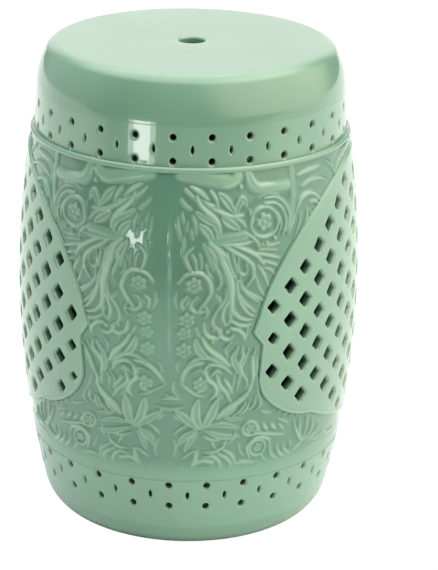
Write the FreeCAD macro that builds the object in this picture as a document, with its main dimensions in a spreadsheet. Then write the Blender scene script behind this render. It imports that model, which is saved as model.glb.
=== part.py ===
import FreeCAD, Part
import math
import os

import Sketcher
from FreeCAD import Placement, Rotation, Vector

# A barrel-shaped ceramic garden stool, 331 mm across the belly and 471 mm high. The clay parts that
# a potter makes one by one and lutes together are separate solids here: seat, pierced bands, two
# moulded wall halves, two pierced lattice panels with their rims, bead mouldings, foot ring and the
# sprigged foliage. Millimetres, +Z up, origin at the middle of the resting plane. The mould seams
# face -Y (front) and +Y (back), and the lattice panels face +X (right) and -X (left).

# Driving dimensions: name, value in millimetres (angles in degrees, counts bare), meaning
SIZES = [
    ("overall_height", 471.0, "floor to seat"),
    ("belly_diameter", 331.0, "largest diameter, across the lattice panels"),
    ("belly_height", 237.0, "height of the largest diameter"),
    ("side_arc_radius", 885.0, "radius of the barrel's side, seen from the front"),
    ("wall_thickness", 8.0, "fired clay wall"),
    ("relief_depth", 1.5, "how far the carved ground lies below the side arc"),
    ("relief_rise", 1.5, "how far beads, rims and foliage rise above the side arc"),
    ("seat_flat_diameter", 251.6, "flat middle of the seat"),
    ("seat_edge_radius", 14.0, "tight part of the seat's rounded edge"),
    ("shoulder_height", 43.8, "height of the rounded shoulder"),
    ("band_top_diameter", 295.4, "upper band, under the shoulder"),
    ("band_foot_diameter", 298.2, "upper band, above the bead"),
    ("finger_hole_diameter", 24.5, "lifting hole in the seat"),
    ("finger_hole_rounding", 2.0, "rounded lip of the lifting hole"),
    ("upper_join_height", 390.0, "upper band to wall"),
    ("lower_join_height", 80.0, "wall to lower band"),
    ("foot_height", 28.0, "lower band to foot ring"),
    ("foot_lip_width", 8.0, "flat ring that stands on the floor"),
    ("bead_height", 5.0, "raised moulding at both ends of the wall"),
    ("hole_count", 26, "holes in each row around a band"),
    ("round_hole_diameter", 6.6, "round holes of the bands"),
    ("slit_width", 3.6, "leaf-shaped slits of the bands"),
    ("slit_length", 9.0, "leaf-shaped slits of the bands"),
    ("upper_row_high", 417.0, "round holes"),
    ("upper_row_slits", 406.0, "slits"),
    ("upper_row_low", 396.0, "round holes"),
    ("lower_row_high", 75.0, "round holes"),
    ("lower_row_slits", 64.0, "slits"),
    ("lower_row_low", 52.5, "round holes"),
    ("panel_circle_radius", 143.0, "arched top of the panel outline, seen from the side"),
    ("panel_circle_height", 229.0, "centre of that arch"),
    ("panel_spring_height", 247.0, "where the arch ends above the bracket point"),
    ("panel_tip_reach", 148.0, "bracket point at each side of the outline"),
    ("panel_tip_height", 233.0, "bracket point"),
    ("panel_waist_reach", 139.5, "straight side under the bracket point"),
    ("panel_waist_height", 220.0, "top of the straight side"),
    ("panel_cheek_height", 184.0, "bottom of the straight side"),
    ("panel_cheek_radius", 50.0, "rounded lower corner of the outline"),
    ("panel_cusp_reach", 93.0, "small cusp between the lower lobes"),
    ("panel_cusp_height", 138.0, "cusp"),
    ("panel_foot_height", 113.0, "lowest point of the outline"),
    ("rim_width", 4.0, "raised rim around the panel"),
    ("lattice_columns", 18, "columns of holes in a panel"),
    ("lattice_column_angle", 6.45, "degrees from column to column"),
    ("lattice_pitch", 32.2, "hole to hole in a column"),
    ("lattice_datum_height", 239.0, "a hole of the even columns"),
    ("lattice_hole_width", 13.5, "diamond holes, side to side"),
    ("lattice_hole_length", 15.5, "diamond holes, tip to tip"),
    ("lattice_hole_rounding", 1.8, "rounded corners of the diamonds"),
    ("lattice_margin", 3.0, "clay left between a hole and the outline"),
    ("cutter_clearance", 4.0, "how far the piercing tools reach past the wall"),
]

DOC = FreeCAD.newDocument("GardenStool")
SHEET = DOC.addObject("Spreadsheet::Sheet", "Sizes")
for row, (alias, value, meaning) in enumerate(SIZES, start=1):
    SHEET.set(f"A{row}", alias)
    SHEET.set(f"B{row}", str(value))
    SHEET.set(f"C{row}", meaning)
    SHEET.setAlias(f"B{row}", alias)
DOC.recompute()

NODES = []


def size(alias):
    return float(getattr(SHEET, alias))


def value_of(expression):
    return float(SHEET.evalExpression(expression))


# Radii and heights as expressions on the sheet. The side of the barrel is one arc, and the carved
# ground and the inside of the wall are concentric with it, a stated depth further in.
GROUND = "Sizes.relief_depth"
INSIDE = "(Sizes.relief_depth + Sizes.wall_thickness)"
PROUD = "(0 - Sizes.relief_rise)"
ARC_AXIS = "(Sizes.belly_diameter / 2 - Sizes.side_arc_radius)"


def arc_radius(depth="0"):
    return f"(Sizes.side_arc_radius - {depth})"


def side(height, depth="0"):
    level = f"({height} - Sizes.belly_height)"
    return f"({ARC_AXIS} + sqrt({arc_radius(depth)} ^ 2 - {level} ^ 2))"


def side_radius(height, depth=0.0):
    radius = size("side_arc_radius") - depth
    axis = size("belly_diameter") / 2 - size("side_arc_radius")
    return axis + math.sqrt(radius ** 2 - (height - size("belly_height")) ** 2)


# Profiles are lists of corners (across, up, edge), counter-clockwise. The edge that leaves a corner
# is None for a straight line, ("convex", radius) for an arc that bulges out of the profile, or
# ("hollow", radius) for one that bulges into it. Every entry is an expression on the sheet.
def arc_between(start, end, radius, bulge):
    chord = end - start
    outward = Vector(chord.y, -chord.x, 0).normalize()
    if bulge == "hollow":
        outward = -outward
    rise = radius - math.sqrt(radius ** 2 - (chord.Length / 2) ** 2)
    return Part.Arc(start, (start + end) / 2 + outward * rise, end)


def pin_point(sketch, edge, position, across, up):
    for kind, expression, axis in (("DistanceX", across, -2), ("DistanceY", up, -1)):
        value = value_of(expression)
        if abs(value) < 1e-9:
            on_axis = Sketcher.Constraint("PointOnObject", edge, position, axis)
            sketch.addConstraint(on_axis)
        else:
            distance = Sketcher.Constraint(kind, -1, 1, edge, position, value)
            index = sketch.addConstraint(distance)
            sketch.setExpression(f"Constraints[{index}]", expression)


def end_at(sketch, edge, point):
    return 1 if (sketch.getPoint(edge, 1) - point).Length < 1e-6 else 2


def draw_profile(sketch, corners):
    points = [Vector(value_of(across), value_of(up), 0) for across, up, edge in corners]
    edges = []
    for number, (across, up, edge) in enumerate(corners):
        start = points[number]
        end = points[(number + 1) % len(points)]
        if edge is None:
            shape = Part.LineSegment(start, end)
        else:
            bulge, radius = edge
            shape = arc_between(start, end, value_of(radius), bulge)
        edges.append(sketch.addGeometry(shape, False))
    for number, (across, up, edge) in enumerate(corners):
        start = points[number]
        here = edges[number]
        before = edges[number - 1]
        sketch.addConstraint(Sketcher.Constraint(
            "Coincident", before, end_at(sketch, before, start), here, end_at(sketch, here, start)))
    for number, (across, up, edge) in enumerate(corners):
        here = edges[number]
        pin_point(sketch, here, end_at(sketch, here, points[number]), across, up)
        if edge is not None:
            bulge, radius = edge
            index = sketch.addConstraint(
                Sketcher.Constraint("Radius", here, value_of(radius)))
            sketch.setExpression(f"Constraints[{index}]", radius)


def origin_plane(body, role):
    for feature in body.Origin.OriginFeatures:
        if feature.Role == role:
            return feature
    raise ValueError(role)


def body_sketch(body, name, role):
    sketch = body.newObject("Sketcher::SketchObject", name)
    sketch.AttachmentSupport = [(origin_plane(body, role), "")]
    sketch.MapMode = "FlatFace"
    return sketch


def ring_body(label, corners):
    body = DOC.addObject("PartDesign::Body", label)
    body.Label = label
    sketch = body_sketch(body, f"{label}_profile", "XZ_Plane")
    draw_profile(sketch, corners)
    DOC.recompute()
    ring = body.newObject("PartDesign::Revolution", f"{label}_ring")
    ring.Profile = sketch
    ring.ReferenceAxis = (sketch, ["V_Axis"])
    ring.Angle = 360.0
    DOC.recompute()
    NODES.append(body)
    return body


# Rows of holes around a band: one pocket towards the front, repeated around the axis
def draw_round_hole(sketch, height):
    circle = Part.Circle(Vector(0, value_of(height), 0), Vector(0, 0, 1), 1.0)
    hole = sketch.addGeometry(circle, False)
    sketch.addConstraint(Sketcher.Constraint("PointOnObject", hole, 3, -2))
    level = sketch.addConstraint(
        Sketcher.Constraint("DistanceY", -1, 1, hole, 3, value_of(height)))
    sketch.setExpression(f"Constraints[{level}]", height)
    width = sketch.addConstraint(Sketcher.Constraint("Diameter", hole, 2.0))
    sketch.setExpression(f"Constraints[{width}]", "Sizes.round_hole_diameter")


def draw_slit(sketch, height):
    half = "(Sizes.slit_length / 2)"
    bow = f"(({half} ^ 2 + (Sizes.slit_width / 2) ^ 2) / Sizes.slit_width)"
    draw_profile(sketch, [
        ("0", f"{height} - {half}", ("convex", bow)),
        ("0", f"{height} + {half}", ("convex", bow)),
    ])


def pierce_row(body, name, height, draw, turn, inside, outside):
    start = f"({inside} - Sizes.cutter_clearance)"
    sketch = body_sketch(body, f"{name}_shape", "XZ_Plane")
    sketch.AttachmentOffset = Placement(Vector(), Rotation(Vector(0, 1, 0), 1.0))
    sketch.setExpression("AttachmentOffset.Base.x", f"{start} * sin({turn} * 1 deg)")
    sketch.setExpression("AttachmentOffset.Base.z", f"{start} * cos({turn} * 1 deg)")
    sketch.setExpression("AttachmentOffset.Rotation.Angle", turn)
    draw(sketch, height)
    DOC.recompute()
    uncut = body.Shape.Volume
    hole = body.newObject("PartDesign::Pocket", f"{name}_hole")
    hole.Profile = sketch
    hole.Type = 0
    hole.Reversed = True
    hole.setExpression("Length", f"{outside} + Sizes.cutter_clearance - {start}")
    DOC.recompute()
    if not body.Shape.Volume < uncut:
        hole.Reversed = False
        DOC.recompute()
    if not body.Shape.Volume < uncut:
        raise RuntimeError(f"{name} cuts nothing")
    row = body.newObject("PartDesign::PolarPattern", f"{name}_row")
    row.Originals = [hole]
    row.Axis = (origin_plane(body, "Z_Axis"), [""])
    row.Angle = 360.0
    row.setExpression("Occurrences", "Sizes.hole_count")
    body.Tip = row
    DOC.recompute()


def pierce_band(body, name, inside, outside):
    rows = [
        ("high", draw_round_hole, "0"),
        ("slits", draw_slit, "(180 / Sizes.hole_count)"),
        ("low", draw_round_hole, "0"),
    ]
    for row, draw, turn in rows:
        pierce_row(body, f"{name}_{row}", f"Sizes.{name}_row_{row}", draw, turn, inside, outside)


# Seat: flat disc, tight edge arc and tall shoulder arc tangent to each other, inside parallel
def make_seat():
    flat = "Sizes.seat_flat_diameter / 2"
    band = "Sizes.band_top_diameter / 2"
    hole = "Sizes.finger_hole_diameter / 2"
    top = "Sizes.overall_height"
    foot = "(Sizes.overall_height - Sizes.shoulder_height)"
    wall = "Sizes.wall_thickness"
    edge = "Sizes.seat_edge_radius"
    tall = "Sizes.shoulder_height"
    reach = f"({band} - {flat})"
    shoulder = f"(({reach} ^ 2 + {tall} ^ 2 - 2 * {tall} * {edge}) / (2 * ({reach} - {edge})))"

    def meeting(depth):
        share = f"(({shoulder} - {depth}) / ({shoulder} - {edge}))"
        across = f"{band} - {shoulder} + ({shoulder} - {reach}) * {share}"
        up = f"{foot} + ({tall} - {edge}) * {share}"
        return across, up

    body = ring_body("seat", [
        (f"{band} - {wall}", foot, None),
        (band, foot, ("convex", shoulder)),
        (*meeting("0"), ("convex", edge)),
        (flat, top, None),
        (hole, top, None),
        (hole, f"{top} - {wall}", None),
        (flat, f"{top} - {wall}", ("hollow", f"({edge} - {wall})")),
        (*meeting(wall), ("hollow", f"({shoulder} - {wall})")),
    ])
    round_finger_hole(body)


def round_finger_hole(body):
    radius = size("finger_hole_diameter") / 2
    lips = []
    for number, edge in enumerate(body.Shape.Edges, start=1):
        curve = edge.Curve
        if isinstance(curve, Part.Circle) and abs(curve.Radius - radius) < 1e-6:
            lips.append(f"Edge{number}")
    ring = body.Tip
    rounding = body.newObject("PartDesign::Fillet", "finger_hole_lip")
    rounding.Base = (ring, lips)
    rounding.setExpression("Radius", "Sizes.finger_hole_rounding")
    DOC.recompute()


# Bands, beads and foot ring
def make_upper_band():
    foot = "Sizes.upper_join_height"
    top = "(Sizes.overall_height - Sizes.shoulder_height)"
    body = ring_body("upper_band", [
        ("Sizes.band_foot_diameter / 2 - Sizes.wall_thickness", foot, None),
        ("Sizes.band_foot_diameter / 2", foot, None),
        ("Sizes.band_top_diameter / 2", top, None),
        ("Sizes.band_top_diameter / 2 - Sizes.wall_thickness", top, None),
    ])
    pierce_band(body, "upper", "Sizes.band_top_diameter / 2 - Sizes.wall_thickness",
                "Sizes.band_foot_diameter / 2")


def make_bead(label, foot, top):
    rise = "Sizes.relief_rise"
    bow = f"((({top} - {foot}) / 2) ^ 2 + {rise} ^ 2) / (2 * {rise})"
    ring_body(label, [
        (side(foot, GROUND), foot, None),
        (side(foot), foot, ("convex", bow)),
        (side(top), top, None),
        (side(top, GROUND), top, ("hollow", arc_radius(GROUND))),
    ])


# The foot ring continues the side with a tangent arc down to the floor. Its joint with the lower
# band lies square to the wall, at this slope of the side there.
SLOPE = "((Sizes.belly_height - Sizes.foot_height) / Sizes.side_arc_radius)"
LEVEL = f"sqrt(1 - {SLOPE} ^ 2)"
FOOT_ARC = f"(Sizes.foot_height / (1 - {SLOPE}))"
FOOT_AXIS = f"({side('Sizes.foot_height')} - {FOOT_ARC} * {LEVEL})"
FOOT_JOINT = (side("Sizes.foot_height"), "Sizes.foot_height")
FOOT_JOINT_INSIDE = (f"{side('Sizes.foot_height')} - {INSIDE} * {LEVEL}",
                     f"Sizes.foot_height + {INSIDE} * {SLOPE}")


def make_lower_band():
    top = "Sizes.lower_join_height"
    body = ring_body("lower_band", [
        (*FOOT_JOINT_INSIDE, None),
        (*FOOT_JOINT, ("convex", arc_radius())),
        (side(top), top, None),
        (side(top, INSIDE), top, ("hollow", arc_radius(INSIDE))),
    ])
    pierce_band(body, "lower", side("Sizes.foot_height", INSIDE), side(top))


def make_foot_ring():
    lip = f"{FOOT_AXIS} - Sizes.foot_lip_width"
    ring_body("foot_ring", [
        (lip, "0", None),
        (FOOT_AXIS, "0", ("convex", FOOT_ARC)),
        (*FOOT_JOINT, None),
        (*FOOT_JOINT_INSIDE, ("hollow", f"({FOOT_ARC} - {INSIDE})")),
        (FOOT_AXIS, INSIDE, None),
        (lip, INSIDE, None),
    ])


# Wall halves and lattice panels. Each is a half shell around +X, trimmed with the panel outline,
# which is drawn in the YZ plane and pushed through the wall.
def loose_sketch(name, rotation):
    sketch = DOC.addObject("Sketcher::SketchObject", name)
    sketch.Placement = Placement(Vector(), rotation)
    return sketch


def half_shell(name, foot, top, outer, inner):
    sketch = loose_sketch(f"{name}_section", Rotation(Vector(1, 0, 0), 90))
    draw_profile(sketch, [
        (side(foot, inner), foot, None),
        (side(foot, outer), foot, ("convex", arc_radius(outer))),
        (side(top, outer), top, None),
        (side(top, inner), top, ("hollow", arc_radius(inner))),
    ])
    DOC.recompute()
    shell = DOC.addObject("Part::Revolution", f"{name}_shell")
    shell.Source = sketch
    shell.Axis = Vector(0, 0, 1)
    shell.Base = Vector(0, 0, 0)
    shell.Angle = 180.0
    shell.Solid = True
    shell.Symmetric = True
    DOC.recompute()
    return shell


def panel_sketch(name):
    spring = "sqrt(Sizes.panel_circle_radius ^ 2 - (Sizes.panel_spring_height - "\
             "Sizes.panel_circle_height) ^ 2)"
    tip = "Sizes.panel_tip_reach"
    waist = "Sizes.panel_waist_reach"
    cusp = "Sizes.panel_cusp_reach"
    drop = "(Sizes.panel_cusp_height - Sizes.panel_foot_height)"
    cheek = ("convex", "Sizes.panel_cheek_radius")
    bowl = ("convex", f"(({cusp} ^ 2 + {drop} ^ 2) / (2 * {drop}))")
    arch = ("convex", "Sizes.panel_circle_radius")
    sketch = loose_sketch(name, Rotation(Vector(1, 1, 1), 120))
    draw_profile(sketch, [
        (f"0 - {cusp}", "Sizes.panel_cusp_height", bowl),
        (cusp, "Sizes.panel_cusp_height", cheek),
        (waist, "Sizes.panel_cheek_height", None),
        (waist, "Sizes.panel_waist_height", None),
        (tip, "Sizes.panel_tip_height", None),
        (spring, "Sizes.panel_spring_height", arch),
        (f"0 - {spring}", "Sizes.panel_spring_height", None),
        (f"0 - {tip}", "Sizes.panel_tip_height", None),
        (f"0 - {waist}", "Sizes.panel_waist_height", None),
        (f"0 - {waist}", "Sizes.panel_cheek_height", cheek),
    ])
    DOC.recompute()
    return sketch


def push_through(name, outline):
    block = DOC.addObject("Part::Extrusion", name)
    block.Base = outline
    block.DirMode = "Custom"
    block.Dir = Vector(1, 0, 0)
    block.Solid = True
    block.setExpression("LengthFwd", "Sizes.belly_diameter")
    DOC.recompute()
    return block


def combine(kind, name, base, tool):
    result = DOC.addObject(kind, name)
    result.Base = base
    result.Tool = tool
    DOC.recompute()
    return result


def name_node(feature, label):
    feature.Label = label
    NODES.append(feature)
    return feature


# The same piece again, mirrored across the front seam or turned to the other side of the stool
def repeat_node(node, label, mirrored=False, turned=False):
    copy = DOC.addObject("Part::Feature", label)
    copy.Shape = node.Shape.mirror(Vector(), Vector(1, 0, 0)) if mirrored else node.Shape
    if turned:
        copy.Placement = Placement(Vector(), Rotation(Vector(0, 0, 1), 180))
    return name_node(copy, label)


def make_wall(label):
    shell = half_shell(label, "Sizes.lower_join_height", "Sizes.upper_join_height",
                       GROUND, INSIDE)
    window = push_through(f"{label}_window", panel_sketch(f"{label}_outline"))
    return name_node(combine("Part::Cut", label, shell, window), label)


def make_rim(label):
    outline = panel_sketch(f"{label}_outline")
    wide = DOC.addObject("Part::Offset2D", f"{label}_outer_outline")
    wide.Source = outline
    wide.setExpression("Value", "Sizes.rim_width")
    wide.Join = 0
    DOC.recompute()
    frame = combine("Part::Cut", f"{label}_frame", push_through(f"{label}_outside", wide),
                    push_through(f"{label}_opening", outline))
    return name_node(combine("Part::Common", label, relief_layer(label), frame), label)


def relief_layer(name):
    return half_shell(name, "(Sizes.lower_join_height + Sizes.bead_height)",
                      "(Sizes.upper_join_height - Sizes.bead_height)", PROUD, GROUND)


# Diamond holes of a lattice panel, pushed in square to the wall. A hole near the outline is made
# smaller, and one with no room is left out.
def diamond(width, length, rounding):
    corners = [Vector(0, -width / 2, 0), Vector(0, 0, length / 2),
               Vector(0, width / 2, 0), Vector(0, 0, -length / 2)]
    slant = math.atan2(length, width)
    edges = []
    stretches = []
    for number, corner in enumerate(corners):
        half_angle = slant if number % 2 == 0 else math.pi / 2 - slant
        cut = rounding / math.tan(half_angle)
        before = (corners[number - 1] - corner).normalize()
        after = (corners[(number + 1) % 4] - corner).normalize()
        inward = (before + after).normalize()
        centre = corner + inward * (rounding / math.sin(half_angle))
        start = corner + before * cut
        end = corner + after * cut
        edges.append(Part.Arc(start, centre - inward * rounding, end).toShape())
        stretches.append((start, end))
    for number in range(4):
        edges.append(Part.makeLine(stretches[number][1], stretches[(number + 1) % 4][0]))
    return Part.Face(Part.Wire(Part.__sortEdges__(edges)))


def unrolled_outline(outline, radius_at):
    points = []
    for edge in outline.Shape.Edges:
        for point in edge.discretize(40):
            radius = radius_at(point.z)
            points.append((radius * math.asin(point.y / radius), point.z))
    return points


def lattice_cutters(outline):
    width = size("lattice_hole_width")
    length = size("lattice_hole_length")
    pitch = size("lattice_pitch")
    margin = size("lattice_margin")
    columns = int(size("lattice_columns"))
    step = size("lattice_column_angle")
    deep = size("relief_depth") + size("wall_thickness") + size("cutter_clearance")
    through = deep + size("cutter_clearance")
    border = unrolled_outline(outline, side_radius)
    inside = Part.Face(Part.Wire(Part.__sortEdges__(outline.Shape.Edges)))
    low = size("panel_foot_height")
    high = size("panel_circle_height") + size("panel_circle_radius")
    first = math.floor((low - size("lattice_datum_height")) / pitch)
    last = math.ceil((high - size("lattice_datum_height")) / pitch)
    cutters = []
    for column in range(-columns // 2, columns // 2):
        angle = (column + 0.5) * step
        stagger = 0.5 if column % 2 else 0.0
        for level in range(first, last + 1):
            height = size("lattice_datum_height") + (level + stagger) * pitch
            radius = side_radius(height)
            spot = Vector(0, radius * math.sin(math.radians(angle)), height)
            if not inside.isInside(spot, 1e-3, True):
                continue
            along = radius * math.radians(angle)
            room = min(math.hypot(along - s, height - z) for s, z in border)
            share = min(1.0, (room - margin) / (width / 2))
            if share < 0.4:
                continue
            shape = diamond(width * share, length * share, size("lattice_hole_rounding") * share)
            hole = shape.extrude(Vector(through, 0, 0))
            hole.translate(Vector(radius - deep, 0, height))
            hole.rotate(Vector(0, 0, 0), Vector(0, 0, 1), angle)
            cutters.append(hole)
    return Part.makeCompound(cutters)


def make_lattice(label):
    shell = half_shell(label, "Sizes.lower_join_height", "Sizes.upper_join_height", "0", INSIDE)
    outline = panel_sketch(f"{label}_outline")
    blank = combine("Part::Common", f"{label}_blank", shell,
                    push_through(f"{label}_window", outline))
    cutters = DOC.addObject("Part::Feature", f"{label}_diamonds")
    cutters.Shape = lattice_cutters(outline)
    return name_node(combine("Part::Cut", label, blank, cutters), label)


# Sprigs of the quarter between the front seam and the right panel. A place is (degrees from the
# seam, height). A stem follows its places in long leaf-shaped strokes that overlap, and a leaf runs
# from one place to the other.
STEM_WIDTH = 6.5
STEM_STRETCH = 1.3
STEMS = [
    [(7, 371), (10.3, 354), (16.5, 333), (19, 298), (21.4, 266), (18.3, 232), (19.2, 204),
     (22.6, 178), (12, 138)],
    [(12.5, 350), (22.5, 349), (27, 370), (40, 367)],
    [(12, 138), (18, 106), (35, 96)],
]
LEAVES = [
    ((9.5, 362), (17.5, 358), 9), ((10.5, 351), (3.5, 340), 9), ((16, 336), (24, 329), 10),
    ((16, 336), (8.5, 325), 10), ((18.6, 304), (9, 309), 9), ((19.4, 294), (28, 304), 9),
    ((20.6, 279), (29, 280), 9), ((21.2, 271), (13.5, 262), 9), ((19.8, 247), (11, 245), 9),
    ((18.4, 226), (10, 218), 9), ((19.5, 200), (26, 214), 9), ((22.4, 181), (16.5, 172), 8),
    ((19.2, 164), (26.5, 170), 9), ((14, 145), (8.5, 170), 11), ((12, 140), (3, 152), 11),
    ((13, 133), (3.5, 120), 11), ((14.4, 127), (25, 135), 10), ((17.6, 109), (8.5, 101), 9),
    ((20, 105), (31, 119), 10), ((27, 100), (41, 106), 8), ((38, 367), (44, 350), 9),
]
ROSETTES = [
    ("upper_rosette", (32.5, 336), 26.0),
    ("middle_rosette", (7, 285), 22.0),
    ("lower_rosette", (10.5, 193), 22.0),
]
ROSETTE_PETALS = 8


def leaf_outline(reach, width):
    aside = Vector(-reach.z, 0, reach.x).normalize() * (width / 2)
    start = reach * -0.5
    end = reach * 0.5
    return [Part.Arc(start, -aside, end).toShape(), Part.Arc(end, aside, start).toShape()]


def rosette_outline(diameter):
    def rim_point(share, radius):
        turn = 2 * math.pi * share / ROSETTE_PETALS
        return Vector(radius * math.cos(turn), 0, radius * math.sin(turn))

    outer = diameter / 2
    notch = outer * 0.86
    return [
        Part.Arc(rim_point(petal, notch), rim_point(petal + 0.5, outer),
                 rim_point(petal + 1, notch)).toShape()
        for petal in range(ROSETTE_PETALS)
    ]


def sprig(edges, angle, height):
    reach = size("cutter_clearance") + size("relief_depth")
    face = Part.Face(Part.Wire(Part.__sortEdges__(edges)))
    block = face.extrude(Vector(0, -2 * reach, 0))
    block.translate(Vector(0, reach - side_radius(height), height))
    block.rotate(Vector(0, 0, 0), Vector(0, 0, 1), angle)
    return block


def between(start, end):
    angle = (start[0] + end[0]) / 2
    height = (start[1] + end[1]) / 2
    across = side_radius(height) * math.radians(end[0] - start[0])
    return Vector(across, 0, end[1] - start[1]), angle, height


def foliage_block():
    strokes = [(start, end, width, 1.0) for start, end, width in LEAVES]
    for stem in STEMS:
        strokes += [(*ends, STEM_WIDTH, STEM_STRETCH) for ends in zip(stem, stem[1:])]
    blocks = []
    for start, end, width, stretch in strokes:
        reach, angle, height = between(start, end)
        blocks.append(sprig(leaf_outline(reach * stretch, width), angle, height))
    return blocks[0].multiFuse(blocks[1:])


# One sprig on each quarter: the pattern is mirrored at the seams and the panels
def make_sprigs(kind, layer, block):
    cutter = DOC.addObject("Part::Feature", f"{kind}_block")
    cutter.Shape = block
    label = f"front_right_{kind}"
    front_right = name_node(combine("Part::Common", label, layer, cutter), label)
    front_left = repeat_node(front_right, f"front_left_{kind}", mirrored=True)
    repeat_node(front_right, f"back_left_{kind}", turned=True)
    repeat_node(front_left, f"back_right_{kind}", turned=True)


def check_document():
    for item in DOC.Objects:
        if "Invalid" in item.State or "Error" in item.State:
            raise RuntimeError(f"{item.Name}: {item.State}")
    for node in NODES:
        if node.Shape.isNull() or not node.Shape.isValid():
            raise RuntimeError(f"{node.Label} has no valid shape")


def export_nodes():
    os.makedirs("parts", exist_ok=True)
    for node in NODES:
        box = node.Shape.BoundBox
        node.Shape.exportStep(f"parts/{node.Label}.step")
        print(f"{node.Label}: {len(node.Shape.Solids)} solids, {node.Shape.Volume / 1000:.1f} cm3,"
              f" z {box.ZMin:.1f} to {box.ZMax:.1f}")


make_seat()
make_upper_band()
make_bead("upper_bead", "(Sizes.upper_join_height - Sizes.bead_height)", "Sizes.upper_join_height")
for make_piece, piece in ((make_wall, "wall"), (make_lattice, "lattice"), (make_rim, "panel_rim")):
    right_piece = make_piece(f"right_{piece}")
    repeat_node(right_piece, f"left_{piece}", turned=True)
sprig_layer = relief_layer("sprig")
make_sprigs("foliage", sprig_layer, foliage_block())
for kind, (angle, height), diameter in ROSETTES:
    make_sprigs(kind, sprig_layer, sprig(rosette_outline(diameter), angle, height))
make_bead("lower_bead", "Sizes.lower_join_height", "(Sizes.lower_join_height + Sizes.bead_height)")
make_lower_band()
make_foot_ring()
DOC.recompute()
check_document()
export_nodes()
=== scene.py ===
"""Celadon ceramic garden stool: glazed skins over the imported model."""

import logging
import math
from dataclasses import dataclass, field
from enum import Enum
from typing import Callable, Optional, Sequence

import bpy
import numpy as np
from mathutils import Matrix, Vector, geometry


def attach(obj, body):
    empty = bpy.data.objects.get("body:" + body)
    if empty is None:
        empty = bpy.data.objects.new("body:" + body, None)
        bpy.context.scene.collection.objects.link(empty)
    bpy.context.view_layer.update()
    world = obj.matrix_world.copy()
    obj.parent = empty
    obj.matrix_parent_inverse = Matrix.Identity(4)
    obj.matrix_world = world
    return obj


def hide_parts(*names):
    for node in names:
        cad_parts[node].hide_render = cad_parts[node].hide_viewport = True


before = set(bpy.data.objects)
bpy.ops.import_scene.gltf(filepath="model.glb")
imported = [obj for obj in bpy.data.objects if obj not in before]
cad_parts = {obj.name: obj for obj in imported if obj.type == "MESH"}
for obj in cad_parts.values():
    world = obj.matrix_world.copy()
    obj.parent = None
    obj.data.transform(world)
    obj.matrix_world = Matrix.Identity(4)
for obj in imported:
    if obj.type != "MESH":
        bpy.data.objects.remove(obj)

LOG = logging.getLogger("garden_stool")
MM = 0.001
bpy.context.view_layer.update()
Place = tuple[float, float]
Colour = tuple[float, float, float]
Field = Callable[[np.ndarray, np.ndarray], np.ndarray]
HeightField = Callable[[np.ndarray, np.ndarray, float], np.ndarray]
# Radius in millimetres of the cylinder that the chart, which all walls are drawn on, unrolls.
CHART = 160.0
# Level in millimetres of the plain ground between the strokes of the relief.
GROUND = -1.9
# Value of "bloom", the height that the glaze's colour follows, for points of the inside; the
# glaze turns it into painted shade on the inside and on the holes' walls.
INSIDE_SHADE_BLOOM = -9.0


@dataclass(frozen=True)
class Barrel:
    """Radii of the stool over its height, in millimetres.

    Args:
        belly: Largest radius.
        belly_height: Its height.
        arc: Radius of the side arc.
        wall: Thickness of the clay.
        depth: How deep the solids' carved ground lies under the side arc.
        band_foot: Radius of the upper band at its foot.
        band_top: Radius at its top.
        band_from: Lowest height of the upper band.
        band_to: Highest height.
        top: Height of the seat.
        wall_from: Lowest height of the wall, on top of the lower band.
        foot: Height of the foot ring, under the lower band.
    """

    belly: float = 165.5
    belly_height: float = 237.0
    arc: float = 885.0
    wall: float = 8.0
    depth: float = 1.5
    band_foot: float = 149.1
    band_top: float = 147.7
    band_from: float = 390.0
    band_to: float = 427.2
    top: float = 471.0
    wall_from: float = 80.0
    foot: float = 28.0

    def side(self, height: np.ndarray) -> np.ndarray:
        """Radius of the barrel's side arc.

        Args:
            height: Heights in millimetres.

        Returns:
            Radii in millimetres.
        """
        return self.belly - self.arc + np.sqrt(self.arc ** 2 - (height - self.belly_height) ** 2)

    def inside(self, height: np.ndarray) -> np.ndarray:
        """Radius of the inner wall, concentric with the side arc."""
        inner = self.arc - self.depth - self.wall
        return self.belly - self.arc + np.sqrt(inner ** 2 - (height - self.belly_height) ** 2)

    def band(self, height: np.ndarray) -> np.ndarray:
        """Radius of the upper band, a slight cone."""
        share = (height - self.band_from) / (self.band_to - self.band_from)
        return self.band_foot + (self.band_top - self.band_foot) * share


BARREL = Barrel()


def chart_of(place: Place) -> Place:
    """Turns (degrees from the front seam, height) into the chart's (along, up) in millimetres."""
    return CHART * math.radians(place[0]), place[1]


def on_barrel(along: np.ndarray, up: np.ndarray, radius: np.ndarray) -> np.ndarray:
    """Wraps chart points around the barrel.

    Args:
        along: Distance from the front seam on the chart.
        up: Height.
        radius: Distance from the axis.

    Returns:
        Points in metres, one row each.
    """
    turn = along / CHART
    points = np.stack([radius * np.sin(turn), -radius * np.cos(turn), up], axis=-1)
    return points.reshape(-1, 3) * MM


def smooth_path(places: Sequence[Place]) -> np.ndarray:
    """Runs a Catmull-Rom curve through chart points.

    Args:
        places: Chart points in millimetres.

    Returns:
        Points along the curve.
    """
    step = 1.2
    knots = np.array(places, dtype=float)
    padded = np.vstack([2 * knots[0] - knots[1], knots, 2 * knots[-1] - knots[-2]])
    curve = []
    for a, b, c, d in zip(padded, padded[1:], padded[2:], padded[3:]):
        count = max(2, int(np.linalg.norm(c - b) / step))
        for t in np.linspace(0.0, 1.0, count, endpoint=False):
            curve.append(0.5 * (2 * b + (c - a) * t + (2 * a - 5 * b + 4 * c - d) * t ** 2
                                + (3 * b - a - 3 * c + d) * t ** 3))
    curve.append(knots[-1])
    return np.array(curve)


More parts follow.
